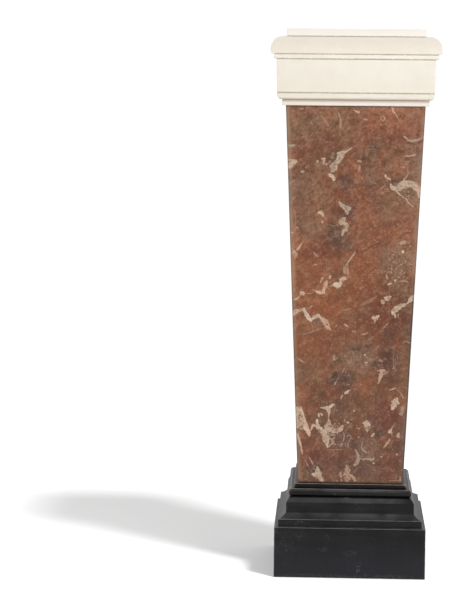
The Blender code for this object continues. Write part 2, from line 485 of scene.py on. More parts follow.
@dataclass(frozen=True)
class MarbledPaint:
    """Paint marbled in red-brown with cream veins and soft clouds, under dull varnish."""

    slot: str = "marbled_paint"
    brick: Colour = (0.236, 0.086, 0.0435)
    umber: Colour = (0.165, 0.078, 0.0435)
    orange: Colour = (0.300, 0.112, 0.056)
    oxblood: Colour = (0.145, 0.047, 0.033)
    light: Colour = (0.385, 0.160, 0.088)
    olive: Colour = (0.210, 0.118, 0.068)
    rosy: Colour = (0.360, 0.190, 0.135)
    grey: Colour = (0.225, 0.142, 0.098)
    dark: Colour = (0.076, 0.048, 0.037)
    pale: Colour = (0.500, 0.340, 0.235)
    shadow: Colour = (0.055, 0.025, 0.014)
    bone: Colour = (0.610, 0.475, 0.350)
    cream: Colour = (0.475, 0.352, 0.256)
    fawn: Colour = (0.370, 0.265, 0.185)
    pinkish: Colour = (0.560, 0.350, 0.245)
    tawny: Colour = (0.420, 0.222, 0.142)
    ashen: Colour = (0.370, 0.285, 0.215)
    rubbed: Colour = (0.300, 0.190, 0.130)
    # one dark colour for grime at the corners and for painted shadow at the shaft's top
    grime_and_shade: Colour = (0.055, 0.046, 0.040)
    foot_tint: Colour = (0.70, 0.638, 0.622)
    waist_tint: Colour = (0.908, 0.797, 0.668)
    shoulder_tint: Colour = (1.01, 0.965, 0.940)
    head_tint: Colour = (1.20, 1.24, 1.22)
    foot_heights: Point = (0.20, 0.62)
    shoulder_heights: Point = (0.60, 0.75)
    head_heights: Point = (0.925, 0.965)
    rub_heights: Point = (0.20, 0.70)
    low_heights: Point = (0.66, 0.54)
    middle_line: Point = (-20.0 * MM, 20.0 * MM)
    rub_reach: Point = (11.0 * MM, 4.0 * MM)
    grime_reach: Point = (2.4 * MM, 1.0 * MM)
    low_grime_reach: Point = (4.4 * MM, 1.8 * MM)
    seam_reach: Point = (3.2 * MM, 0.6 * MM)
    stroke_slant_deg: float = 35.0
    stroke_waves: Point = (45.0, 130.0)
    broad_waves: float = 7.5
    middle_waves: float = 34.0
    olive_waves: float = 17.0
    oxblood_waves: float = 13.0
    drift_waves: float = 40.0
    mottle_waves: float = 150.0
    relief: float = 0.35 * MM

    def build(self, name: str) -> bpy.types.Material:
        """Return the material for one piece.

        Args:
            name: the material's name.

        Returns:
            The material.
        """
        graph = Paint(name)
        colour = self._ground(graph)
        colour = self._clouds(graph, colour)
        colour = self._strokes(graph, colour)
        colour, veined = self._veins(graph, colour)
        colour = self._arrises(graph, colour, veined)
        height = graph.noise(320.0, 3.0, 0.6) * 0.5 + veined * 0.5 + graph.noise(30.0, 3.0) * 0.8
        bump = graph.bump(height, 0.22, self.relief)
        roughness = graph.noise(50.0, 3.0) * 0.16 + 0.38
        return graph.finish(Base_Color=colour, Roughness=roughness, Normal=bump, Specular_IOR_Level=0.25)

    def _ground(self, graph: Paint) -> Socket:
        """Return the red-brown ground with its drifting hues.

        Args:
            graph: the material's graph.

        Returns:
            The ground's colour.
        """
        broad = graph.noise(self.broad_waves, 4.0, 0.6, 0.4)
        middle = graph.noise(self.middle_waves, 5.0, 0.65, 0.6)
        colour = graph.mix((broad * 0.55 + middle * 0.45).step(0.40, 0.60), self.umber, self.brick)
        olive = graph.noise(self.olive_waves, 4.0, 0.6, 0.5).step(0.50, 0.68)
        colour = graph.mix(olive * 0.60, colour, self.olive)
        colour = graph.mix(middle.step(0.52, 0.70) * 0.55, colour, self.orange)
        oxblood = graph.noise(self.oxblood_waves, 3.0, 0.6, 0.8).step(0.56, 0.70)
        return graph.mix(oxblood * 0.60, colour, self.oxblood)

    def _clouds(self, graph: Paint, colour: Socket) -> Socket:
        """Return the colour with its soft clouds, and duller and darker towards the foot.

        Args:
            graph: the material's graph.
            colour: the colour so far.

        Returns:
            The colour with its clouds.
        """
        drift = graph.noise(self.drift_waves, 4.0, 0.65, 0.5)
        mottle = graph.noise(self.mottle_waves, 4.0, 0.7)
        washes = ((Stain.OLIVE, self.olive, drift), (Stain.ORANGE, self.orange, drift),
                  (Stain.OXBLOOD, self.oxblood, drift), (Stain.LIGHT, self.light, drift),
                  (Stain.GREY, self.grey, mottle), (Stain.DARK, self.dark, mottle))
        for stain, paint, texture in washes:
            amount = graph.field(stain.value) * (texture * 2.0 - 0.15)
            colour = graph.mix(amount.least(0.85).most(0.0), colour, paint)
        up = graph.field("up")
        tint = graph.mix(up.step(*self.foot_heights), self.foot_tint, self.waist_tint)
        tint = graph.mix(up.step(*self.shoulder_heights), tint, self.shoulder_tint)
        tint = graph.mix(up.step(*self.head_heights), tint, self.head_tint)
        colour = graph.mix(1.0, colour, tint, "MULTIPLY")
        specks = graph.noise(250.0, 2.0, 0.5).step(0.54, 0.66) * graph.field(Stain.FLECK.value)
        return graph.mix(specks * 0.85, colour, self.pale)

    def _strokes(self, graph: Paint, colour: Socket) -> Socket:
        """Return the colour with slanting strokes, a fine stipple and rosy specks.

        Args:
            graph: the material's graph.
            colour: the colour so far.

        Returns:
            The colour with its strokes.
        """
        place = graph.slanted(math.radians(self.stroke_slant_deg), *self.stroke_waves)
        stroke = graph.noise(1.0, 4.0, 0.65, 0.6, place=place)
        fine = graph.noise(190.0, 4.0, 0.78)
        coarse = graph.noise(75.0, 3.0, 0.55)
        roughly = graph.field("up").step(0.30, 0.95) * 0.35 + 0.82
        shade = ((stroke - 0.5) * 0.50 + (fine - 0.5) * 1.12 + (coarse - 0.5) * 0.62) * roughly
        colour = graph.mix((shade * 1.05).most(0.0).least(0.6), colour, self.pale)
        colour = graph.mix((shade * -2.1).most(0.0).least(0.7), colour, self.shadow)
        thick = graph.noise(24.0, 3.0, 0.6).step(0.42, 0.62)
        specks = graph.noise(230.0, 2.0, 0.5).step(0.62, 0.74) * thick
        return graph.mix(specks * 0.50, colour, self.rosy)

    def _veins(self, graph: Paint, colour: Socket) -> tuple[Socket, Value]:
        """Return the colour with its veins painted over, and where they are.

        Args:
            graph: the material's graph.
            colour: the colour so far.

        Returns:
            The colour with veins, and the veins' cover from 0 to 1.
        """
        breadth = graph.field("vein_breadth")
        fresh = graph.field("vein_strength").step(0.88, 1.0)
        ragged = graph.noise(190.0, 3.0, 0.7) - 0.5
        wandering = graph.noise(80.0, 2.0, 0.5) - 0.5
        tattered = graph.noise(430.0, 2.0, 0.6) - 0.5
        rough = ragged * 7.5 + wandering * 4.5 + tattered * 4.0
        edge = graph.field("vein") + rough * (breadth * 0.11 + 0.30 * MM)
        cover = edge.step(1.1 * MM, -1.1 * MM)
        inside = edge.step(-0.3 * MM, -2.6 * MM)
        broad = breadth.step(6.0 * MM, 11.0 * MM) * (1.0 - fresh)
        aged = (graph.noise(62.0, 3.0, 0.6).step(0.38, 0.60) + broad * 0.45).least(1.0)
        paint = graph.mix(aged, self.bone, self.cream)
        paint = graph.mix(breadth.step(7.0 * MM, 2.0 * MM) * 0.5, paint, self.pinkish)
        mottle = graph.noise(140.0, 4.0, 0.7).step(0.38, 0.60)
        paint = graph.mix((mottle * 0.75 + 0.10) * inside * (1.0 - fresh * 0.75), paint, self.fawn)
        blush = edge.step(-2.2 * MM, 0.4 * MM) * breadth.step(5.0 * MM, 9.0 * MM)
        paint = graph.mix(blush * 0.3, paint, self.pinkish)
        tone = graph.field("vein_tone")
        paint = graph.mix(tone.step(0.5, 0.0) * 0.85, paint, self.ashen)
        paint = graph.mix(tone.step(0.5, 0.75) * 0.6, paint, self.pinkish)
        paint = graph.mix(tone.step(0.75, 1.0) * 0.85, paint, self.tawny)
        grain = graph.noise(330.0, 2.0, 0.5)
        paint = graph.mix((grain - 0.5).most(0.0) * 2.2, paint, self.bone)
        paint = graph.mix(tone.step(1.2, 1.8), paint, self.shadow)
        gaps = graph.noise(165.0, 3.0, 0.6).step(0.50, 0.63) * (inside * 0.6 + 0.25) * (1.0 - fresh * 0.6)
        gaps = gaps * (breadth.step(4.0 * MM, 9.0 * MM) * 0.8 + 0.3)
        crumbs = graph.noise(250.0, 2.0, 0.5).step(0.62, 0.74) * edge.step(9.0 * MM, 1.0 * MM)
        colour = graph.mix(crumbs * (1.0 - cover) * 0.55, colour, self.pinkish)
        rim = edge.step(3.2 * MM, 0.8 * MM) * (1.0 - cover)
        colour = graph.mix(rim * 0.20, colour, self.shadow)
        amount = cover * graph.field("vein_strength") * (1.0 - gaps)
        return graph.mix(amount, colour, paint), cover

    def _arrises(self, graph: Paint, colour: Socket, veined: Value) -> Socket:
        """Return the colour with its arrises: rubbed more on the left, dirtier on the right.

        Args:
            graph: the material's graph.
            colour: the colour so far.
            veined: where the veins lie.

        Returns:
            The colour with its arrises.
        """
        corner = graph.field("corner")
        up = graph.field("up")
        east, _, _ = graph.axes()
        right = east.step(*self.middle_line)
        left = 1.0 - right
        patchy = graph.noise(26.0, 4.0, 0.7)
        rub = corner.step(*self.rub_reach) * (patchy.step(0.36, 0.60) * 0.40 + left * 0.22 + 0.22)
        low = up.step(*self.low_heights)
        rub = rub * up.step(*self.rub_heights).most(0.45) * (1.0 - veined * 0.75) * (1.0 - right * low * 0.7)
        colour = graph.mix(rub, colour, self.rubbed)
        grime = corner.step(*self.grime_reach) * (right * 0.50 + left * 0.48)
        grime = grime.most(corner.step(*self.low_grime_reach) * right * low * 0.78)
        colour = graph.mix(grime, colour, self.grime_and_shade)
        # the shaft darkens at its top and foot: dirt in the joints, and at the top painted shadow under the
        # capital's overhang
        seam = graph.field("seam").step(*self.seam_reach)
        return graph.mix(seam * 0.92, colour, self.grime_and_shade)


Finish = CreamPaint | BlackPaint | MarbledPaint


# Profiles and mouldings


@dataclass
class Profile:
    """The outline of a board or moulding, as (half width, height) points from top to bottom."""

    points: list[Point] = field(default_factory=list)
    ease_steps: int = 3

    def to(self, half: float, height: float) -> "Profile":
        """Go straight to a point, or begin there."""
        self.points.append((half, height))
        return self

    def corner(self, half: float, height: float, following: Point, ease: float) -> "Profile":
        """Go straight to a corner and ease it.

        Args:
            half: half width of the sharp corner.
            height: height of the sharp corner.
            following: the point that the profile heads for after the corner.
            ease: how far from the corner the easing starts and ends.

        Returns:
            This profile.
        """
        tip = Vector((half, height))
        entry = tip + (Vector(self.points[-1]) - tip).normalized() * ease
        leave = tip + (Vector(following) - tip).normalized() * ease
        for step in range(self.ease_steps + 1):
            share = step / self.ease_steps
            eased = entry.lerp(tip, share).lerp(tip.lerp(leave, share), share)
            self.points.append((eased.x, eased.y))
        return self

    def sweep(self, centre: Point, radii: Point, start: float, end: float, steps: int = 10) -> "Profile":
        """Follow an elliptical arc.

        Args:
            centre: middle of the ellipse.
            radii: its half width and half height.
            start: first angle in degrees, from the outward level direction, anticlockwise.
            end: last angle in degrees.
            steps: how many chords stand for it.

        Returns:
            This profile.
        """
        for step in range(steps + 1):
            angle = math.radians(start + (end - start) * step / steps)
            place = (centre[0] + radii[0] * math.cos(angle), centre[1] + radii[1] * math.sin(angle))
            if not self.points or math.dist(place, self.points[-1]) > TOUCHING:
                self.points.append(place)
        return self

    def bow(self, end: Point, depth: float, steps: int = 8) -> "Profile":
        """Follow a shallow curve from the last point to a new one.

        Args:
            end: where it ends.
            depth: how far its middle lies inside the straight line, or outside it where less than 0.
            steps: how many chords stand for it.

        Returns:
            This profile.
        """
        start = self.points[-1]
        across, down = end[0] - start[0], end[1] - start[1]
        span = math.hypot(across, down)
        for step in range(1, steps + 1):
            share = step / steps
            inset = 4.0 * depth * share * (1.0 - share) / span
            half = start[0] + across * share + down * inset
            self.points.append((half, start[1] + down * share - across * inset))
        return self

    def divided(self, longest: float) -> list[Point]:
        """Cut long straight stretches into shorter ones.

        Args:
            longest: the longest stretch that stays whole.

        Returns:
            The points, with new ones among them.
        """
        result = [self.points[0]]
        for last, here in zip(self.points, self.points[1:]):
            parts = max(1, math.ceil(math.dist(last, here) / longest))
            for part in range(1, parts + 1):
                share = part / parts
                result.append((last[0] + (here[0] - last[0]) * share, last[1] + (here[1] - last[1]) * share))
        return result


@dataclass
class SquareMoulding:
    """One piece: a profile run round a square, with eased mitres and uneven faces.

    Its fields are arris, the distance to the nearest eased corner of the profile; corner, the distance
    to the nearest mitre; seam, the distance to the piece's top or foot; run, the way round it; up, its
    height; ledge, how far its face looks up; and front, 1 on the photographed side.
    """

    node: str
    profile: Profile
    finish: Finish
    sharp: Sequence[Point] = ()
    mitre_ease: float = 1.1 * MM
    mitre_steps: int = 3
    spacing: float = 5.0 * MM
    unevenness: float = 0.22 * MM
    soft_waves: float = 14.0
    soft_share: float = 0.38
    close_waves: float = 60.0
    close_share: float = 0.12
    level_from: float = 0.75
    level_over: float = 0.2
    sharp_angle_deg: float = 32.0
    seed: float = 0.0

    def build(self) -> Piece:
        """Model and dress the piece.

        Returns:
            The finished object, riding and standing for its CAD node.
        """
        form = self._run_profile()
        self._refine(form)
        self._wobble(form)
        mesh = bpy.data.meshes.new(f"painted_{self.node}")
        form.verts.index_update()
        fields = self._fields(form)
        form.to_mesh(mesh)
        form.free()
        for name, values in fields.items():
            mesh.attributes.new(name, "FLOAT", "POINT").data.foreach_set("value", values)
        mesh.polygons.foreach_set("use_smooth", [True] * len(mesh.polygons))
        mesh.set_sharp_from_angle(angle=math.radians(self.sharp_angle_deg))
        piece = bpy.data.objects.new(mesh.name, mesh)
        bpy.context.scene.collection.objects.link(piece)
        mesh.materials.append(self.finish.build(f"{self.node}_{self.finish.slot}"))
        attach(piece, "root")
        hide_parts(self.node)
        LOG.info("%s: %d vertices, %d faces", piece.name, len(mesh.vertices), len(mesh.polygons))
        return piece

    def _run_profile(self) -> Form:
        """Spin the profile into a square, ease the mitres, divide the sides and close the ends.

        Returns:
            The closed form.
        """
        points = self.profile.divided(self.spacing)
        form = bmesh.new()
        verts = [form.verts.new((half, half, height)) for half, height in points]
        edges = [form.edges.new(pair) for pair in zip(verts, verts[1:])]
        bmesh.ops.spin(form, geom=verts + edges, cent=(0, 0, 0), axis=(0, 0, 1), dvec=(0, 0, 0),
                       angle=math.tau, steps=4, use_merge=True)
        bmesh.ops.remove_doubles(form, verts=form.verts[:], dist=MERGE_DISTANCE)
        mitres = [edge for edge in form.edges if not edge.is_boundary and self._on_mitre(edge)]
        bmesh.ops.bevel(form, geom=mitres, offset=self.mitre_ease, offset_type="OFFSET", affect="EDGES",
                        segments=self.mitre_steps, profile=0.5, material=-1, clamp_overlap=False)
        widest = max(half for half, height in points)
        cuts = math.ceil(2.0 * widest / self.spacing) - 1
        long_edges = [edge for edge in form.edges if self._is_side(edge)]
        bmesh.ops.subdivide_edges(form, edges=long_edges, cuts=cuts, use_grid_fill=True)
        rims = [edge for edge in form.edges if edge.is_boundary]
        bmesh.ops.holes_fill(form, edges=rims, sides=0)
        bmesh.ops.recalc_face_normals(form, faces=form.faces[:])
        return form

    @staticmethod
    def _on_mitre(edge: bmesh.types.BMEdge) -> bool:
        """Say whether an edge lies on a mitre line."""
        slanted = not SquareMoulding._is_side(edge)
        return slanted and all(abs(abs(vert.co.x) - abs(vert.co.y)) < TOUCHING for vert in edge.verts)

    @staticmethod
    def _is_side(edge: bmesh.types.BMEdge) -> bool:
        """Say whether an edge runs the length of a side.

        Args:
            edge: any edge of the spun form.

        Returns:
            True where it is level, square to the axes and long.
        """
        first, second = (vert.co for vert in edge.verts)
        level = abs(first.z - second.z) < SLIP
        along_x = abs(first.y - second.y) < SLIP
        along_y = abs(first.x - second.x) < SLIP
        return level and (along_x or along_y) and (first - second).length > SIDE_SPAN

    def _refine(self, form: Form) -> None:
        """Cut the mesh finer where its paint needs it; plain pieces need nothing."""

    def _wobble(self, form: Form) -> None:
        """Draw the faces in by a little, unevenly, as hand-planed and thickly painted wood is.

        Args:
            form: the mesh, whose vertices move towards the axis.
        """
        for vert in form.verts:
            place = vert.co
            soft = noise.noise(place * self.soft_waves + Vector((self.seed, 0.0, 0.0)))
            close = noise.noise(place * self.close_waves + Vector((0.0, self.seed, 0.0)))
            inward = self.unevenness * (0.5 + self.soft_share * soft + self.close_share * close)
            reach = max(abs(place.x), abs(place.y))
            shrink = 1.0 - inward / reach if reach > 0 else 1.0
            place.x *= shrink
            place.y *= shrink

    @staticmethod
    def _places(form: Form) -> np.ndarray:
        """Return the vertices' places as rows."""
        return np.array([vert.co for vert in form.verts], dtype=float)

    def _fields(self, form: Form) -> dict[str, np.ndarray]:
        """Return the fields that the paint reads.

        Args:
            form: the finished mesh.

        Returns:
            One value for each vertex, by field name.
        """
        place = self._places(form)
        half = np.maximum(abs(place[:, 0]), abs(place[:, 1]))
        corner = half - np.minimum(abs(place[:, 0]), abs(place[:, 1]))
        heights = [height for _, height in self.profile.points]
        top, foot = max(heights), min(heights)
        covered = top - place[:, 2] if top < CAD_BOX[1][2] - self.spacing else np.full(len(place), FAR)
        seam = np.minimum(covered, place[:, 2] - foot)
        arris = np.full(len(place), FAR)
        for tip_half, tip_height in self.sharp:
            arris = np.minimum(arris, np.hypot(half - tip_half, place[:, 2] - tip_height))
        form.normal_update()
        facing = np.array([vert.normal.z for vert in form.verts])
        ledge = np.maximum(facing, 0.0)
        seam = seam + np.clip((abs(facing) - self.level_from) / self.level_over, 0.0, 1.0) * self.spacing
        return {"arris": np.minimum(arris, corner), "corner": corner, "seam": seam,
                "run": self._run(place), "up": place[:, 2], "ledge": ledge,
                "front": (-place[:, 1] >= abs(place[:, 0])).astype(float)}

    @staticmethod
    def _run(place: np.ndarray) -> np.ndarray:
        """Return the distance round the piece, from the middle of the photographed side."""
        angle = np.arctan2(place[:, 0], -place[:, 1])
        return angle / (math.pi / 4) * np.maximum(abs(place[:, 0]), abs(place[:, 1]))


# Photograph's camera


@dataclass(frozen=True)
class PhotoCamera:
    """The camera that took the photograph, as worked out from the base's front and back corners."""

    place: Triple = (-0.0413, -5.0311, 1.1228)
    pan_deg: float = 2.548
    pitch_deg: float = 6.563
    roll_deg: float = 0.471
    focal_px: float = 2420.6

    def axes(self) -> tuple[Vector, Vector, Vector]:
        """Work out which way the camera looks.

        Returns:
            Its right, up and forward directions.
        """
        turn = Matrix.Rotation(math.radians(self.pan_deg), 3, "Z")
        tip = Matrix.Rotation(math.radians(-self.pitch_deg), 3, "X")
        lean = Matrix.Rotation(math.radians(-self.roll_deg), 3, "Y")
        frame = turn @ tip @ lean
        return frame.col[0].copy(), frame.col[2].copy(), frame.col[1].copy()

    def make(self) -> Piece:
        """Create the camera and make it the scene's own.

        Returns:
            The camera.
        """
        right, up, forward = self.axes()
        data = bpy.data.cameras.new("photo_camera")
        data.sensor_width = SENSOR_MM
        data.lens = self.focal_px * SENSOR_MM / PHOTO_HEIGHT
        camera = bpy.data.objects.new("photo_camera", data)
        frame = Matrix((right, up, -forward)).transposed().to_4x4()
        camera.matrix_world = Matrix.Translation(self.place) @ frame
        bpy.context.scene.collection.objects.link(camera)
        bpy.context.scene.camera = camera
        return camera

    def on_plane(self, across: float, down: float, plane_point: Vector, normal: Vector) -> Vector:
        """Return where a pixel of the photograph falls on a plane.

        Args:
            across: pixels from the picture's left edge.
            down: pixels from its top edge.
            plane_point: any point of the plane.
            normal: the plane's normal.

        Returns:
            The place, in metres.
        """
        right, up, forward = self.axes()
        ray = forward * self.focal_px + right * (across - PHOTO_WIDTH / 2) - up * (down - PHOTO_HEIGHT / 2)
        eye = Vector(self.place)
        return eye + ray * ((plane_point - eye).dot(normal) / ray.dot(normal))


# Marbling


C, G, P, O, D = Tone.CREAM, Tone.GREY, Tone.PINK, Tone.ORANGE, Tone.DARK

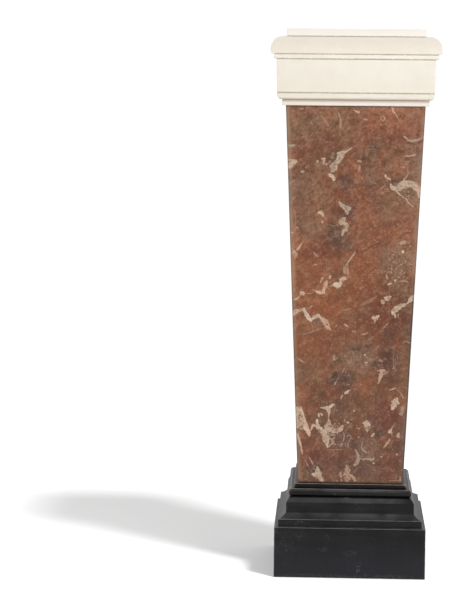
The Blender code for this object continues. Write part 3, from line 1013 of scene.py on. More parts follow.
# Figures painted on the photographed face, each with its strokes: tone, strength, and then for every
# knot its pixels across and down in the photograph and the breadth of the paint in millimetres
FIGURES: tuple[tuple[Any, ...], ...] = (
    ("top flecks", (C, 0.5, 299.5, 109, 2, 303.2, 108.6, 3.4)),
    ("top arc", (P, 0.42, 337.6, 112, 2.4, 339.6, 116, 3, 340.6, 120, 4.5, 340.4, 127, 5),
     (O, 0.45, 321.4, 116, 5, 325.2, 120.6, 6, 328.4, 126, 4)),
    ("top smear", (P, 0.35, 311, 121.6, 3.4, 312, 124.2, 4)),
    ("top dash", (C, 0.85, 353.4, 109.8, 2.5, 356.4, 111.4, 4, 358.9, 112.2, 4)),
    ("top slip", (P, 0.85, 392.4, 107.8, 3.5, 393.4, 111.4, 4.5, 395.8, 114.4, 2, 399.4, 120.4, 1.2)),
    ("left lens", (P, 0.6, 364, 119.4, 3.4, 366.6, 119.4, 3.4)),
    ("rosette", (C, 0.7, 383.8, 116, 2.4, 384.8, 118.2, 3, 383.8, 120.4, 2.4),
     (P, 0.5, 383.2, 115.6, 1.8, 381, 117.2, 2.2, 381.2, 119.8, 2, 383, 121, 1.8),
     (P, 0.5, 380.6, 124.7, 4)),
    ("upper patch", (C, 0.9, 352, 147.4, 1.4, 349.8, 149.2, 2.6, 346.6, 151.2, 4, 343.6, 152.8, 6.5,
      341.2, 155.4, 11, 339.2, 159.4, 11, 337.4, 162.4, 7),
     (C, 0.97, 337.4, 153.4, 2.8, 340.8, 152, 3.6, 344.2, 151, 3),
     (G, 0.85, 335.8, 163, 9, 333.8, 166.6, 12, 332.6, 170.2, 8.5),
     (P, 0.97, 337.6, 160, 2.6, 336.8, 165.5, 3, 335.8, 170.6, 2.6),
     (C, 0.98, 329.4, 174.4, 6, 331.4, 176, 7.5, 333.7, 177.8, 8)),
    ("upper hair", (O, 0.4, 353.6, 147, 1.2, 358, 142.8, 1.2, 364.8, 135.1, 1)),
    ("upper shadow patch", (O, 0.5, 333.2, 153.8, 6, 332.2, 157.4, 7)),
    ("comma", (P, 0.85, 321.8, 158.6, 3, 324.8, 158.5, 3), (P, 0.85, 323.7, 159, 4, 323.7, 163.6, 4)),
    ("upper shadow", (D, 0.5, 331, 159.6, 1.4, 334, 159.8, 1.4), (G, 0.35, 329.6, 161.6, 6)),
    ("comma", (P, 0.75, 326.6, 164.2, 3.4), (P, 0.75, 317.5, 161.5, 5.4)),
    ("left spot", (O, 0.55, 306.4, 167.2, 4), (P, 0.7, 301.6, 171.9, 3.4, 303.4, 171.6, 4)),
    ("left faint spot", (O, 0.35, 307.4, 153.6, 4.6)),
    ("edge fan", (C, 1, 288.4, 166, 9, 291, 164.8, 11, 293.8, 162.8, 9, 296.4, 161.8, 5),
     (C, 0.9, 288.4, 159.8, 4, 292.6, 160, 4, 296, 160.6, 3.4)),
    ("edge streak", (G, 0.85, 288.6, 145.8, 5.5, 293, 145.4, 4.8, 296, 144.8, 2)),
    ("orange streak", (O, 0.55, 361, 154.4, 1.6, 361, 158, 2),
     (P, 0.62, 357.8, 161.6, 2, 359.6, 161.2, 4, 361.6, 162, 2),
     (O, 0.75, 359.8, 165.6, 2.6, 359.2, 168.6, 4, 358.6, 171.8, 1.8)),
    ("right whisker", (P, 0.7, 403.8, 136.4, 2.2, 407.2, 138.8, 2.4),
     (G, 0.8, 408.2, 140.2, 3.2, 413, 140.8, 4.6, 418.4, 139.6, 4, 423.4, 136.8, 3.4),
     (D, 0.5, 407.4, 143, 2.6, 413, 143.8, 4, 419, 142.6, 4, 423.4, 140.2, 4)),
    ("right flecks", (G, 0.4, 411.6, 147, 1.6, 411.8, 152, 1.6),
     (G, 0.35, 415.4, 146.6, 1.6, 415.2, 151.6, 1.6)),
    ("right dash", (C, 0.62, 404.6, 156.2, 2.4, 410.6, 155.8, 4, 415.6, 154.8, 2.4)),
    ("right rib", (P, 0.4, 401.8, 162, 1.6, 409.6, 161.4, 1.6),
     (P, 0.4, 400.8, 164.2, 1.6, 409, 163.8, 1.6), (P, 0.5, 401, 166.8, 2.2, 404.6, 167.4, 2.2)),
    ("arch", (C, 0.92, 391.2, 187, 5, 394.6, 188.6, 7.5, 397.8, 188, 10.5, 401, 185.8, 13.5,
      405.4, 184.6, 14, 410, 184.2, 13.5, 413.8, 185, 12),
     (P, 0.97, 413.6, 185, 12, 416.8, 188, 11, 418.6, 192, 8, 419, 197, 4),
     (C, 0.88, 403.6, 181.2, 3, 408.6, 181.4, 3.4, 413.4, 181.8, 3.4),
     (C, 0.9, 390.9, 184.2, 2.6, 391.6, 187.2, 5)),
    ("root line", (P, 0.5, 384, 189, 1.4, 387.4, 189, 1.4), (P, 0.45, 384.4, 191.4, 1.4, 388, 191.2, 1.4)),
    ("arch", (C, 0.75, 404.3, 179.3, 3, 408, 174.2, 1.6, 407.6, 169, 1), (P, 0.9, 395.2, 190.4, 3,
      398.6, 193.4, 3.6, 400.6, 195.2, 2.6, 404.5, 197.6, 1.6, 406.6, 199.6, 2.2, 408.2, 202.4, 2,
      411.4, 205.2, 1.4, 413.6, 207, 1.8), (C, 0.75, 385.4, 175.2, 4.6, 385.6, 176.6, 4.2),
     (P, 0.85, 387.4, 178, 3, 390, 179.4, 3.4), (O, 0.25, 394.4, 203, 8, 397.4, 204.4, 8),
     (O, 0.45, 384.4, 184.8, 1.8, 388.2, 189.6, 1.4)),
    ("grey crumbs", (G, 0.45, 369.6, 181.2, 2, 376.4, 183.8, 1.8)),
    ("flame", (C, 0.76, 339.2, 202, 3.5, 341.6, 205.4, 5, 344.2, 207.2, 8, 347.2, 208.8, 11),
     (C, 0.76, 347, 210.2, 8, 347.4, 213.4, 3.6), (C, 0.85, 348.4, 209.2, 6.5, 350.6, 207.8, 3),
     (C, 0.74, 345.6, 217.6, 2.4, 342.4, 220.6, 9, 341.6, 223.4, 7),
     (C, 0.74, 344.4, 222.8, 6, 346.6, 225.6, 9.5, 346.4, 229.4, 8),
     (C, 0.74, 345, 229.4, 6, 343.2, 231.5, 6.5, 342.4, 235.4, 3)),
    ("wedge", (P, 0.98, 318.4, 212.6, 3.4, 320.6, 212.6, 7, 322.2, 213.6, 6.6, 323, 215.8, 4),
     (P, 0.5, 324.6, 217.6, 2, 326.4, 219.4, 1.4), (P, 0.75, 322.3, 222.2, 3.8),
     (O, 0.5, 329.5, 224.6, 1.2, 334, 226, 1.2, 338.8, 223.9, 1.2)),
    ("left light patch", (P, 0.45, 292.8, 199, 3.4, 295.6, 196.6, 3)),
    ("left edge light", (G, 0.4, 288.8, 183.6, 5, 293.8, 180.8, 4),
     (P, 0.25, 294.4, 210, 3, 295.6, 220, 3, 295, 231, 3)),
    ("left pinhead", (P, 0.55, 296.9, 227.6, 4.4)),
    ("edge pinhead", (C, 0.95, 291.6, 232.7, 3.2, 292.6, 232.9, 3.2)),
    ("edge wing", (C, 0.86, 292, 250.5, 8, 294.2, 253.4, 8), (O, 0.75, 296.4, 253.5, 5, 295, 257.5, 4),
     (P, 0.8, 297.6, 249.4, 4, 299.6, 246.4, 4, 301.6, 243.6, 2, 303.5, 241.4, 1.2),
     (O, 0.4, 303.4, 241.6, 1.2, 298.4, 246.4, 1.4, 297.3, 252, 1.4, 294.2, 257.4, 1.2)),
    ("pink spot", (O, 0.6, 313.6, 252.4, 4, 316, 255, 4.4, 318.5, 256.4, 2)),
    ("pink dash", (P, 0.5, 314.4, 264.6, 3, 316.6, 264.6, 2.6)),
    ("faint hair", (O, 0.4, 326.4, 260.5, 0.9, 326.9, 272.4, 0.9)),
    ("fork hair", (O, 0.35, 357.2, 234.8, 1.4, 358, 243.4, 1.4)),
    ("long hair",
     (D, 0.5, 383.4, 241.8, 1.4, 376, 243.8, 1.4, 368.4, 247.6, 1.6, 361.4, 251.8, 1.5, 355.6, 255.4, 1.4),
     (D, 0.5, 357.2, 246.4, 1.6, 357.6, 252.6, 2),
     (O, 0.4, 378, 241.6, 1.4, 370, 245, 1.4, 362, 249.6, 1.4)),
    ("long vein head",
     (P, 0.75, 355, 252.6, 2, 352.8, 255.6, 3.6, 350.8, 258.6, 2.4, 347.6, 262.4, 1.6, 345.6, 265.4, 1.6)),
    ("ring", (P, 0.42, 345, 267.6, 6, 344.6, 271.2, 7), (P, 0.6, 344, 272.8, 1.8, 346.4, 273.4, 1.8),
     (P, 0.65, 347.9, 262, 1.4, 347.6, 268, 1.6, 348.2, 273.2, 2, 346.6, 279.6, 1.8)),
    ("long vein", (P, 0.93, 345.2, 277.6, 5, 342.6, 279.4, 9.5, 340.4, 281.2, 6.5),
     (C, 0.97, 341, 283.4, 6, 338.2, 284.8, 10.5, 335.4, 285, 9.4, 333.4, 285.2, 5),
     (C, 0.7, 333.2, 285.4, 3, 330.6, 286.4, 2.4)),
    ("foot crumb", (P, 0.5, 329.6, 282, 1.8, 330.8, 282.6, 1.4),
     (P, 0.5, 328.4, 289.2, 1.8, 329.6, 288.4, 1.6)),
    ("long vein", (P, 0.85, 326.6, 281.2, 4, 325.4, 285, 6.5, 324, 289, 6, 323.4, 292.2, 7),
     (P, 0.92, 323.6, 293, 6.5, 319.6, 292.8, 6, 316.2, 291.4, 3),
     (P, 0.6, 311.8, 289.6, 1.2, 315.6, 290.8, 1.6)),
    ("foot", (C, 0.7, 328.6, 286.2, 1.2, 326.8, 288.2, 1.2), (P, 0.8, 330.4, 275.6, 4, 329.8, 277.6, 4.4),
     (P, 0.65, 322.3, 278.3, 4, 320.4, 282.3, 2)),
    ("knuckle", (P, 0.95, 301.8, 293, 7, 303, 293.4, 7),
     (P, 0.9, 300.4, 294.6, 3, 298, 297.8, 2.6, 294.4, 299.7, 3.4),
     (P, 0.6, 306.6, 293.7, 1.4, 311.8, 293.4, 1.2)),
    ("cloud spot", (P, 0.5, 400.4, 243.4, 5, 403, 242.4, 8, 405.4, 241.8, 5)),
    ("cloud pinhead", (C, 1, 402.7, 251.6, 4.8)),
    ("cloud speck", (P, 0.6, 410, 246.4, 3)),
    ("cloud pinhead low", (C, 0.85, 395.2, 280.6, 4.8)),
    ("cloud dash", (C, 0.9, 388.4, 284.4, 2.6, 390.2, 283.6, 3.6, 391.4, 283.2, 2.4)),
    ("cloud bars", (O, 0.3, 392.6, 284.4, 1.2, 405, 284.6, 1.2)),
    ("cloud arc", (P, 0.35, 374.6, 272.4, 1.2, 376, 270.8, 1.2, 380, 270.2, 1.2, 383.2, 271.4, 1.2)),
    ("cloud streaks", (P, 0.42, 399.8, 281.2, 2.4, 404, 281.2, 3.4, 407.4, 282, 2.2)),
    ("cloud crumb", (P, 0.5, 386.6, 275, 3, 387.2, 278.4, 4)),
    ("pink stroke", (O, 0.55, 375.6, 269.6, 1.8, 372.4, 272.2, 2.2, 368.4, 275.2, 1.6)),
    ("faint slip", (O, 0.45, 360.6, 288.4, 4, 363.6, 286.8, 3)),
    ("twin", (O, 0.35, 389.2, 288.6, 1.8, 389.6, 295, 1.8),
     (C, 0.88, 384.6, 297.6, 3.5, 387.6, 298.6, 8, 390.6, 296.6, 3.6), (P, 0.5, 388.2, 300.6, 4.4),
     (P, 0.85, 381.8, 301, 6.4, 383.4, 302.6, 6.4)),
    ("right vein", (C, 0.97, 414.4, 297.2, 9, 411.4, 299.2, 10, 408.8, 302, 4.6, 407, 304, 2.4), (C, 0.92,
      406.2, 304.2, 2.8, 403.8, 305.2, 6.5, 400.6, 306.4, 9, 397.2, 308.4, 9.6, 394.4, 310.8, 9,
      393, 313.2, 6), (C, 0.85, 394.8, 314.6, 4, 395.3, 318, 2),
     (P, 0.6, 398.2, 314, 1.4, 398, 317.2, 1.2)),
    ("pale slip", (O, 0.28, 360.4, 305.2, 4, 366.5, 302.4, 8, 371, 300, 6.4, 376.6, 296.4, 2.6)),
    ("pink slip", (O, 0.45, 343.2, 310.6, 3, 350.4, 308.6, 3.4)),
    ("pink mote", (O, 0.35, 350.2, 308.8, 4), (P, 0.35, 355, 322.4, 4)),
    ("zigzag", (P, 0.85, 293.2, 313.2, 9, 297.4, 311.2, 9, 301.4, 309.8, 7, 304, 309.2, 5),
     (C, 1, 303.4, 309.2, 6, 306, 313.4, 8, 308.6, 317.4, 8, 311, 320.4, 6),
     (C, 0.9, 311.2, 319.8, 5, 314, 317.6, 7, 317.4, 316, 7.5, 319.6, 316.8, 5),
     (P, 0.8, 319.4, 316.8, 4, 322.6, 319.4, 8, 325.4, 322.2, 12),
     (P, 0.8, 325.4, 322.4, 11.5, 327.2, 325.2, 10, 328.8, 327.8, 5.5, 330.4, 329.8, 2.2),
     (P, 0.6, 304.4, 307.8, 2.4, 308, 308.6, 1.8, 312.6, 305.4, 1.8),
     (O, 0.55, 311.2, 322.3, 1.6, 312.4, 327, 1.4, 312.9, 330.8, 1.6),
     (P, 0.5, 303.3, 334.4, 1.8, 313.2, 331.4, 1.8, 321.7, 328.1, 1.4),
     (G, 0.4, 293.6, 308, 1.4, 299.6, 306.4, 1.2)),
    ("dash", (O, 0.5, 334.6, 327.4, 2.4, 336.8, 325.8, 5),
     (P, 0.7, 344.2, 324.4, 3, 346, 325.4, 4, 347.6, 326.6, 2.4)),
    ("small fan", (P, 0.9, 373, 317.4, 5, 375.2, 318, 8, 378.6, 316, 3.6),
     (P, 0.75, 374.8, 320.4, 4, 374.6, 324, 1.2)),
    ("right needle", (P, 0.7, 388.6, 322.6, 1.2, 386, 325.2, 1.4, 383, 328.4, 1.2)),
    ("bright dash", (C, 0.85, 362.4, 334.4, 1.4, 365.4, 333.8, 1.8, 367.8, 332.8, 1.4)),
    ("soft dash", (G, 0.4, 352.8, 331.2, 5, 355.6, 331.6, 4)),
    ("edge feather", (G, 0.6, 403.8, 341, 2.4, 407, 341.8, 2.4, 410.4, 343.4, 1.6)),
    ("cloud stroke", (G, 0.45, 369.4, 339.6, 1.4, 373.4, 336.8, 1.4)),
    ("cloud star", (P, 0.7, 364.9, 354.8, 4.4), (P, 0.6, 365, 362.6, 3, 367.2, 362.4, 2.6),
     (O, 0.4, 364, 367, 1.4, 370, 367.2, 1.4, 376.2, 367.4, 1.2),
     (P, 0.4, 364.6, 365.2, 1.2, 368.6, 365.4, 1.2)),
    ("cloud crumb", (O, 0.45, 370.8, 359.3, 5), (O, 0.4, 379.6, 360, 4, 381.8, 361.4, 4.4)),
    ("left nick", (P, 0.55, 298.6, 358.8, 2, 301, 360.8, 2.6, 303.8, 361.8, 1.6)),
    ("pale tick", (P, 0.42, 333.8, 355.4, 4.4, 334.2, 359.4, 5)),
    ("kite", (P, 0.66, 377.2, 371, 2, 380.4, 370.6, 4, 384.2, 370.6, 4),
     (G, 0.45, 383.8, 374, 5, 386.8, 372.2, 4),
     (P, 0.66, 381.4, 373.2, 10, 380.8, 376.6, 7.5, 379.4, 380.4, 4.6, 378, 383.4, 1.8)),
    ("scratch", (G, 0.66, 339.2, 376.4, 1.4, 337.4, 379.4, 2.4, 334.8, 384.2, 3),
     (G, 0.55, 344.6, 368.4, 1.8, 342.6, 372, 2),
     (G, 0.2, 340.4, 375, 1.2, 343.4, 374.8, 1.2, 346.6, 376.4, 1.2)),
    ("smoke crumbs", (G, 0.45, 346.8, 384.4, 2.4, 349.4, 384.8, 2.4)),
    ("ochre stroke", (O, 0.38, 393.4, 354, 1.4, 393.4, 361, 1.4, 393.6, 367, 1.8),
     (O, 0.33, 398, 353, 1.4, 397.2, 361, 1.4, 394.6, 367, 1.6)),
    ("low dash", (P, 0.88, 345.2, 393.2, 3.6, 347.4, 392.2, 5.5, 349.6, 390.2, 2.6)),
    ("stroke junction", (P, 0.5, 393, 368.6, 2.6, 394.6, 368.2, 2.6)),
    ("right tick bow", (P, 0.35, 396.8, 389.4, 1.4, 400.5, 393, 2.4, 403.2, 398.2, 3.4)),
    ("low fleck", (C, 0.55, 359.8, 384, 1.8, 361.6, 384.5, 2.4)),
    ("low dash foot", (P, 0.6, 342.3, 395.4, 3, 341, 398, 3.8)),
    ("right tick", (P, 0.75, 389.6, 389.8, 3, 392, 389.2, 4, 395.4, 388, 2.2)),
    ("left tick", (O, 0.4, 296.4, 395.2, 1.4, 303.6, 397.3, 1.2)),
    ("leaf", (C, 0.9, 397, 398.4, 5, 395.4, 402.4, 14, 393.8, 405.6, 12.5, 392, 409.4, 4)),
    ("edge ember", (G, 0.5, 402.8, 407.6, 6, 402.2, 411.4, 7.5, 401.6, 414.6, 5),
     (C, 0.9, 399.7, 414.2, 3)),
    ("shield", (C, 0.88, 298.8, 409.4, 9, 300.4, 418, 13, 302, 426.8, 11),
     (P, 0.92, 301, 407.5, 3, 303.6, 416.8, 5, 306.6, 426.4, 6.5, 309.2, 433.2, 5),
     (P, 0.97, 304.6, 427.8, 7, 307.4, 431.2, 6.5, 309.4, 435.6, 3.4),
     (C, 0.88, 296.4, 407.5, 4, 296.6, 416, 7, 297.6, 426.8, 6.5)),
    ("net crown",
     (C, 0.9, 320.2, 407.6, 1.6, 323.6, 408.2, 4, 327.4, 408, 8, 330.6, 406.6, 6.5, 334, 404.8, 4)),
    ("crown stroke", (O, 0.35, 321.4, 400.8, 1.4, 324.4, 401.8, 1.6, 326.8, 401.6, 1.2)),
    ("net", (P, 0.85, 328.6, 409.6, 8, 329, 412.6, 4),
     (P, 0.75, 328.8, 413.4, 2.6, 328.4, 419, 2.2, 328.8, 422, 7),
     (C, 0.76, 328.8, 423.6, 8, 328.8, 428, 16, 332.4, 431, 12, 336.2, 431.6, 9),
     (C, 0.72, 336.4, 430.8, 9.5, 340.2, 429.6, 8.5, 342.4, 426.4, 4.5),
     (C, 0.88, 311.2, 429.8, 1.8, 312.8, 425.6, 3.4, 315.6, 425.8, 4.6, 318.6, 427.8, 7.5, 321.8, 430.6, 9),
     (C, 0.84, 322.4, 431.2, 11, 325.2, 434, 15, 325.8, 438, 13, 326.8, 442.4, 8.5, 327.4, 447, 3.6),
     (C, 0.9, 317.2, 420.2, 4.6, 317.4, 423, 5.6, 318, 426, 6.6),
     (C, 0.8, 318.6, 413.8, 2.6, 318.9, 416.2, 2.8), (C, 0.75, 321.2, 413.8, 3.4, 322, 414.6, 3),
     (G, 0.55, 330.2, 434.8, 5, 334.4, 434.8, 4.4),
     (P, 0.5, 328.4, 437.4, 2.6, 332.6, 439.2, 3, 335, 437, 2),
     (P, 0.55, 328.6, 446.8, 2.4, 332.4, 443.2, 3, 335.4, 444.4, 2.6),
     (P, 0.5, 331, 440.6, 2.6, 334.2, 441.4, 3),
     (G, 0.55, 343.4, 432.6, 1.8, 344.2, 436.4, 2.4, 343.2, 441.2, 2),
     (G, 0.5, 342, 443.8, 3.6, 340.8, 446.4, 2.6), (G, 0.5, 347, 436.4, 1.8, 349.2, 435, 2, 350.8, 437, 2,
      349.8, 440, 1.8, 348, 443.6, 2.2, 348.4, 448, 2.4),
     (O, 0.5, 326.4, 449.6, 1.8, 336, 449.8, 1.8, 342, 449.4, 1.4),
     (O, 0.4, 330.5, 456.8, 1.4, 334, 454.6, 1.6, 337.4, 452.4, 1.4),
     (P, 0.68, 347.2, 422.4, 5, 348.2, 422.6, 4), (P, 0.6, 344.6, 419.6, 2, 344.7, 422, 1.6),
     (O, 0.5, 334.8, 423.8, 4)),
    ("right hair", (D, 0.5, 395.4, 227, 1.4, 396.6, 222.8, 1.8, 399.4, 221.4, 1.4),
     (D, 0.4, 403.6, 234, 1.4, 408, 233, 1.6, 413, 232.4, 1.4)),
    ("cloud lilac", (G, 0.4, 369.6, 145.6, 1.6, 373.4, 146.8, 1.8),
     (G, 0.35, 371.6, 149.4, 1.8, 375.4, 149, 1.6)),
    ("orange flecks", (O, 0.45, 375.2, 201.6, 2, 378.4, 201.2, 2)),
    ("net", (O, 0.45, 339, 423.6, 3.6), (C, 0.75, 351.9, 419.4, 2.2)),
    ("lone dot", (C, 0.85, 354, 410.8, 2.8)),
    ("crumb dot", (O, 0.4, 335.6, 426.4, 3)),
    ("speckled dot", (C, 0.8, 356.4, 428, 2.4, 358.8, 428.6, 3.4)),
    ("faint dot", (P, 0.6, 358.8, 437.1, 3.2)),
    ("teardrop", (C, 0.74, 363.4, 423, 4, 365.8, 422.8, 7, 368.4, 424, 8, 370, 425.8, 3),
     (C, 0.74, 366.6, 423.2, 9, 367.2, 425.8, 12.5, 367.2, 428.4, 8.5, 367.2, 431.8, 2.5)),
    ("slant dot", (P, 0.75, 371.6, 436, 4.4, 373.8, 434, 4.6)),
    ("pin", (P, 0.8, 389.7, 432.4, 6.5, 391.1, 429.6, 3.4, 392.9, 426.6, 1.4, 394.9, 423.8, 1),
     (P, 0.7, 391.4, 432.4, 1.8, 391.8, 435.4, 1.4)),
    ("small kite", (P, 0.62, 398.6, 433.2, 2.6, 398, 435.8, 6.4, 399.2, 437, 3)),
    ("right string", (P, 0.6, 389.8, 439.6, 2.6, 388, 442, 4.6, 385.4, 445.6, 3.6, 383.2, 448.2, 1.6)),
    ("fork left", (G, 0.5, 362.4, 442.4, 2, 361.6, 447, 3, 363.6, 450.4, 4, 366.2, 452.8, 3)),
    ("oval ring upper", (G, 0.2, 367, 440, 1.2, 371, 438.6, 1.2, 375.4, 440.8, 1.4, 376, 446, 1.4)),
    ("wishbone",
     (G, 0.6, 355.2, 449.8, 2.6, 357.6, 454, 5, 358.6, 458.6, 8.5, 357, 462.2, 8, 354.6, 465.4, 4),
      (G, 0.62, 358.4, 458.4, 4, 361.4, 459.2, 3, 365, 459, 3, 369.2, 459, 4, 371.6, 459.8, 6.5,
      374, 458, 2), (C, 0.95, 373.7, 463.1, 3)),
    ("ring spot", (P, 0.5, 381.5, 457, 4.4)),
    ("right bead", (P, 0.7, 397, 454.6, 4.6)),
    ("left string", (C, 0.85, 297.6, 434, 3.4, 299, 439.4, 3.6, 301, 446.4, 3.6),
     (P, 0.7, 301.2, 447.4, 3.6, 302.4, 453.8, 2.2)),
    ("twin needles", (C, 0.8, 304.9, 459.4, 1, 307.2, 464.6, 1),
     (C, 0.86, 308.9, 456.9, 1, 311, 460.4, 1.2, 313, 464.6, 1)),
    ("spearhead",
     (C, 0.82, 317.3, 466.8, 2.4, 317.6, 470.2, 8, 317.9, 473.6, 14, 319.8, 476.8, 11, 322.2, 480.4, 5.5),
     (C, 0.9, 312.2, 474.2, 3.6, 315, 474.8, 7.5)),
    ("candle", (P, 0.5, 347.4, 467.4, 8, 346.8, 473, 12, 347.4, 479, 12.5),
     (P, 0.6, 350, 475, 3, 352.8, 477, 5, 355, 480.4, 4), (G, 0.6, 340.4, 472.6, 4, 341, 476.8, 4),
     (P, 0.6, 337.2, 480.8, 3), (P, 0.55, 341.6, 480.2, 4.6)),
    ("right ember", (P, 0.35, 400, 476.6, 2.6, 400.4, 479.8, 4)),
    ("foot ember", (O, 0.45, 389, 480.8, 1.6, 395, 480.6, 1.8, 400.4, 480.4, 1.8)),
    ("cloud shadow", (D, 0.5, 352.6, 349.4, 3, 356.4, 348.6, 3.4),
     (D, 0.5, 367.6, 346.2, 2.4, 371.2, 344.8, 2.6), (D, 0.4, 359, 346.8, 2.4, 362.6, 345.6, 2.4),
     (D, 0.55, 337, 371.6, 2.4, 334.4, 375.4, 3.4, 331.6, 378.6, 2.4),
     (D, 0.45, 344.4, 379.6, 4, 347.4, 382.6, 4),
     (D, 0.35, 374.6, 364, 2, 379.6, 363.2, 2.4, 384.2, 365, 2)),
)

